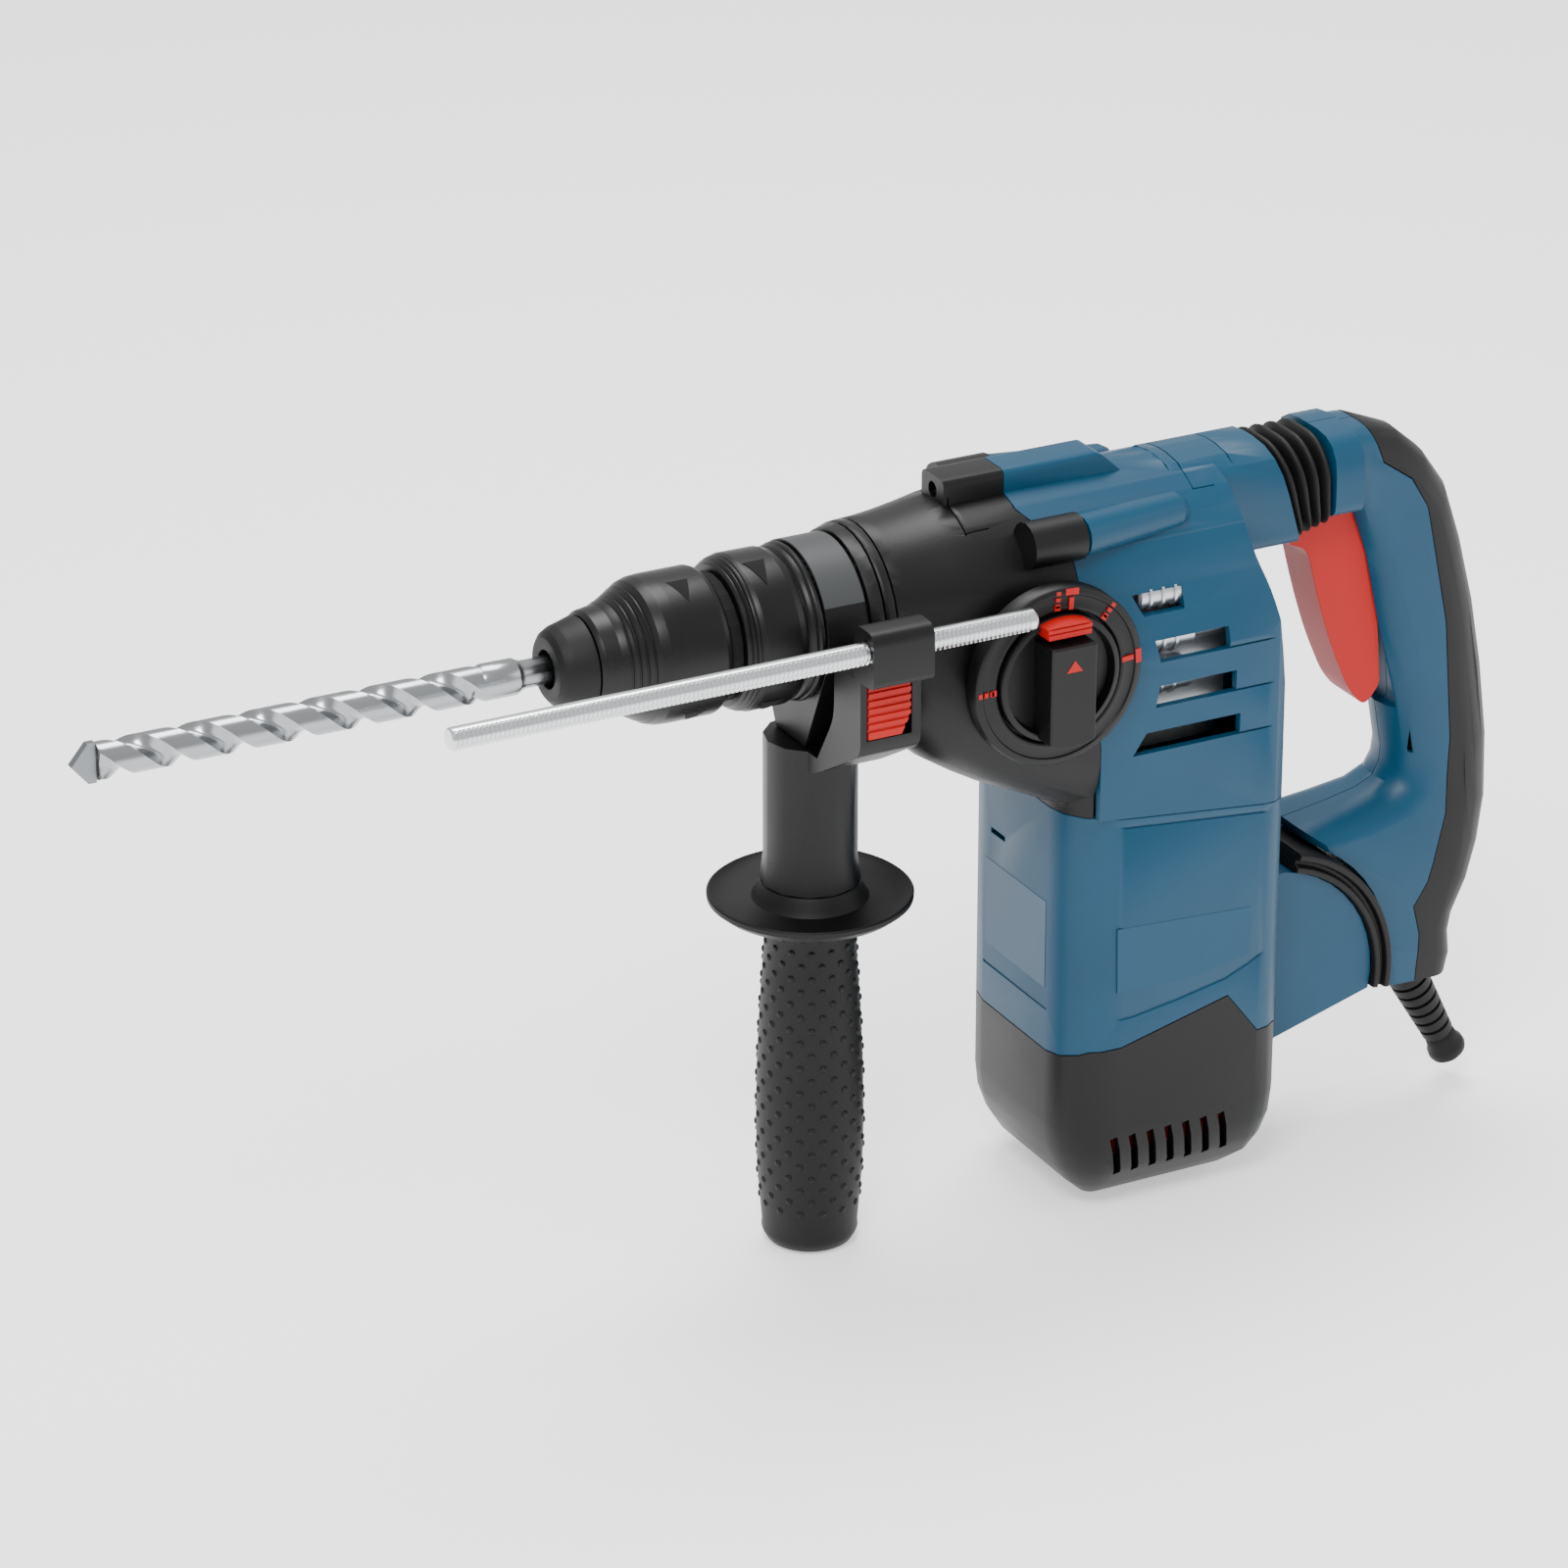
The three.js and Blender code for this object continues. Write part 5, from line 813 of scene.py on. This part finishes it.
# The bellows: a thin rubber wall in four folds round the handle's neck.
bellows_a, bellows_b = reach("handle_bellows")
neck_half = (bellows_b.y - bellows_a.y) / 2


def neck_section(bm, x, swell, lean, rise):
    """A ring of corners round the neck, standing across the tool axis and leaning back below."""
    half, top, floor = neck_half - 2.4 + swell, arch_radius - 3 + swell, 2 + rise - swell
    tight, wide = 6, 16
    arcs = ((half - tight, floor + tight, tight, -90, 4), (half - wide, top - wide, wide, 0, 8),
            (wide - half, top - wide, wide, 90, 8), (tight - half, floor + tight, tight, 180, 4))
    corners = []
    for cy, cz, r, start, steps in arcs:
        for i in range(steps + 1):
            a = math.radians(start + 90 * i / steps)
            y, z = cy + r * math.cos(a), cz + r * math.sin(a)
            corners.append(bm.verts.new((x + lean * (arch_radius + 1 - z) / (arch_radius + 2), y, z)))
    return corners


FOLDS = 4
LEAN = 11
RISE = 4
NECK_FRONT = 279.4
NECK_LENGTH = 24.5
bellows = bmesh.new()
sections = []
steps = FOLDS * 10
for i in range(steps + 1):
    share = i / steps
    wave = 0.5 - 0.5 * math.cos(2 * math.pi * FOLDS * share)
    swell = -1.2 + 3.5 * wave ** 0.55
    x = NECK_FRONT + NECK_LENGTH * share
    sections.append(neck_section(bellows, x, swell, LEAN * (1 - share), RISE * share))
for near, far in zip(sections, sections[1:]):
    for k in range(len(near)):
        onward = (k + 1) % len(near)
        bellows.faces.new((near[k], near[onward], far[onward], far[k]))
bmesh.ops.recalc_face_normals(bellows, faces=bellows.faces)
bellows_piece = new_piece("bellows_moulded", placed(bellows), rubber, None,
                          ["handle_bellows"], 60)
wall = bellows_piece.modifiers.new("wall", "SOLIDIFY")
wall.thickness = 1.6 * MM
wall.offset = -1
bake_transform(bellows_piece)

# The joint ring: rubber round the lower arm's hinge, with a groove between its two beads.
joint_a, joint_b = reach("joint_rubber")
motor_back = motor_high.x
joint_x = motor_back - 1
joint_z = -175
outer_radius = joint_b.x - joint_x
inner_radius = outer_radius - 7.8
half = (joint_b.y - joint_a.y) / 2
bead = -half - 1.2
beads = [(-half, inner_radius), (bead, inner_radius + 0.4), (bead, inner_radius + 2.4),
         (-half + 1.4, inner_radius + 3), (-half + 1.4, inner_radius + 4.6), (bead, inner_radius + 5.2),
         (bead, outer_radius - 0.5), (-half, outer_radius)]
beads += [(-a, r) for a, r in reversed(beads)]
joint = bmesh.new()
add_ring(joint, beads, axis="y", centre=(joint_x, 0, joint_z), segments=48, sweep=84, start=15)
soften(new_piece("joint_ring_moulded", placed(joint), rubber, "casing", ["joint_rubber"]),
       0.5, 3)

# ---- Cord boot -----------------------------------------------------------------------------------
# The bend relief where the power cord leaves the handle: a tapered rubber sleeve with slits moulded
# across it and a bead at its end.
BOOT_LEAN = math.radians(29)
BOOT_SLITS = 7
SLIT_PITCH = 5
boot_profile = [(-10, 0), (-10, 8.4), (2, 8.4), (4, 8.2)]
for i in range(BOOT_SLITS):
    start = 6 + i * SLIT_PITCH
    r = 8 - i * 0.3
    boot_profile += [(start, r), (start + 3.4, r - 0.15), (start + 3.7, r - 1.1), (start + 4.7, r - 1.2)]
boot_profile += [(42, 5.9), (45, 6.2), (46.5, 7.1), (49, 7.4), (50.5, 6.9), (52, 5.2), (52, 3.6), (49, 3.4),
                 (49, 0)]
boot = bmesh.new()
add_ring(boot, [(-a, r) for a, r in boot_profile], axis="z", segments=48, closed=False)
bmesh.ops.rotate(boot, verts=boot.verts, cent=(0, 0, 0), matrix=Matrix.Rotation(-BOOT_LEAN, 3, "Y"))
handle_end = reach("soft_grip")[1].x
bmesh.ops.translate(boot, verts=boot.verts, vec=(handle_end - 30, 0, joint_z - 13))
new_piece("cord_boot_moulded", placed(boot), rubber, "rear_handle", ["cord_boot"], 30)

# ---- Works inside --------------------------------------------------------------------------------
# Gears, crank, piston, motor and bearings, each in its own metal, which show when the shells are off.
# The sleeve's spring is coiled steel wire.
# Case-hardened steel: a dark grey with a slight blue cast and an oily gloss.
dark_steel, dark_shader = new_material("case_hardened_steel", "#5a5e62", 0.35, 1.0)
grain(dark_steel, dark_shader, 0.7, 0.01)
# Ground bearing steel: smooth and bright.
bright_steel, bright_shader = new_material("ground_bearing_steel", "#c3c6c9", 0.2, 1.0)
grain(bright_steel, bright_shader, 0.5, 0.005)
# Stacked electrical steel sheets: dull grey, with fine lines across where the sheets meet.
steel_sheets, sheets_shader = new_material("stacked_steel_sheets", "#54585b", 0.45, 1.0)
sheet_place = add_node(steel_sheets, "ShaderNodeTexCoord")
LINE_PITCH = 4.4  # in millimetres, coarser than the real sheets so that the lines show
WAVES = 20  # radians that a wave texture turns through in one unit at a scale of one
sheet_edges = add_node(steel_sheets, "ShaderNodeTexWave",
                       {"bands_direction": "Z", "Scale": math.tau / (WAVES * LINE_PITCH * MM)},
                       {"Vector": sheet_place.outputs["Object"]})
sheet_bump = add_node(steel_sheets, "ShaderNodeBump", {"Distance": 0.1 * MM},
                      {"Height": sheet_edges.outputs["Fac"]})
steel_sheets.node_tree.links.new(sheet_bump.outputs["Normal"], sheets_shader.inputs["Normal"])
# Enamelled copper wire: a warm brown-red under a glossy clear skin.
copper_wire, wire_shader = new_material("enamelled_copper_wire", "#a85c2c", 0.3, 1.0)
grain(copper_wire, wire_shader, 1.0, 0.1)
# Pressed graphite: dull dark grey.
pressed_graphite, graphite_shader = new_material("pressed_graphite", "#25272a", 0.6)
grain(pressed_graphite, graphite_shader, 0.6, 0.02)
# Rolled brass sheet: a soft yellow metal with a smooth face.
rolled_brass, brass_shader = new_material("rolled_brass", "#b8943f", 0.3, 1.0)
grain(rolled_brass, brass_shader, 0.8, 0.005)
works = {
    dark_steel: ["hammer_tube", "bevel_ring", "layshaft_gear", "crank_gear", "handle_link"],
    # The tool holder is not its own metal here: it is painted matt black as painted shade, standing for the
    # dark valley between the locking sleeve and the lock ring.
    black_marks_and_shade: ["tool_holder"],
    bright_steel: ["front_bearing", "impact_bolt", "striker", "motor_pinion", "armature_shaft",
                   "upper_bearing", "lower_bearing", "locking_ball_upper", "locking_ball_lower", "wrist_pin",
                   "pivot_pin", "clamp_bolt", "trigger_pin"],
    cast_aluminium: ["clamping_collar", "bearing_plate", "piston", "connecting_rod"],
    steel_sheets: ["armature_core", "stator"],
    copper_wire: ["stator_winding_upper", "stator_winding_lower", "commutator"],
    pressed_graphite: ["carbon_brush_near", "carbon_brush_far"],
    rolled_brass: ["brush_holder_near", "brush_holder_far"],
    black_nylon: ["cooling_fan", "switch_body"],
}
for material, nodes in works.items():
    for node in nodes:
        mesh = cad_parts[node].data
        mesh.materials.clear()
        mesh.materials.append(material)

spring = dressed("sleeve_spring", dark_steel, "spindle")
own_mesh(spring)
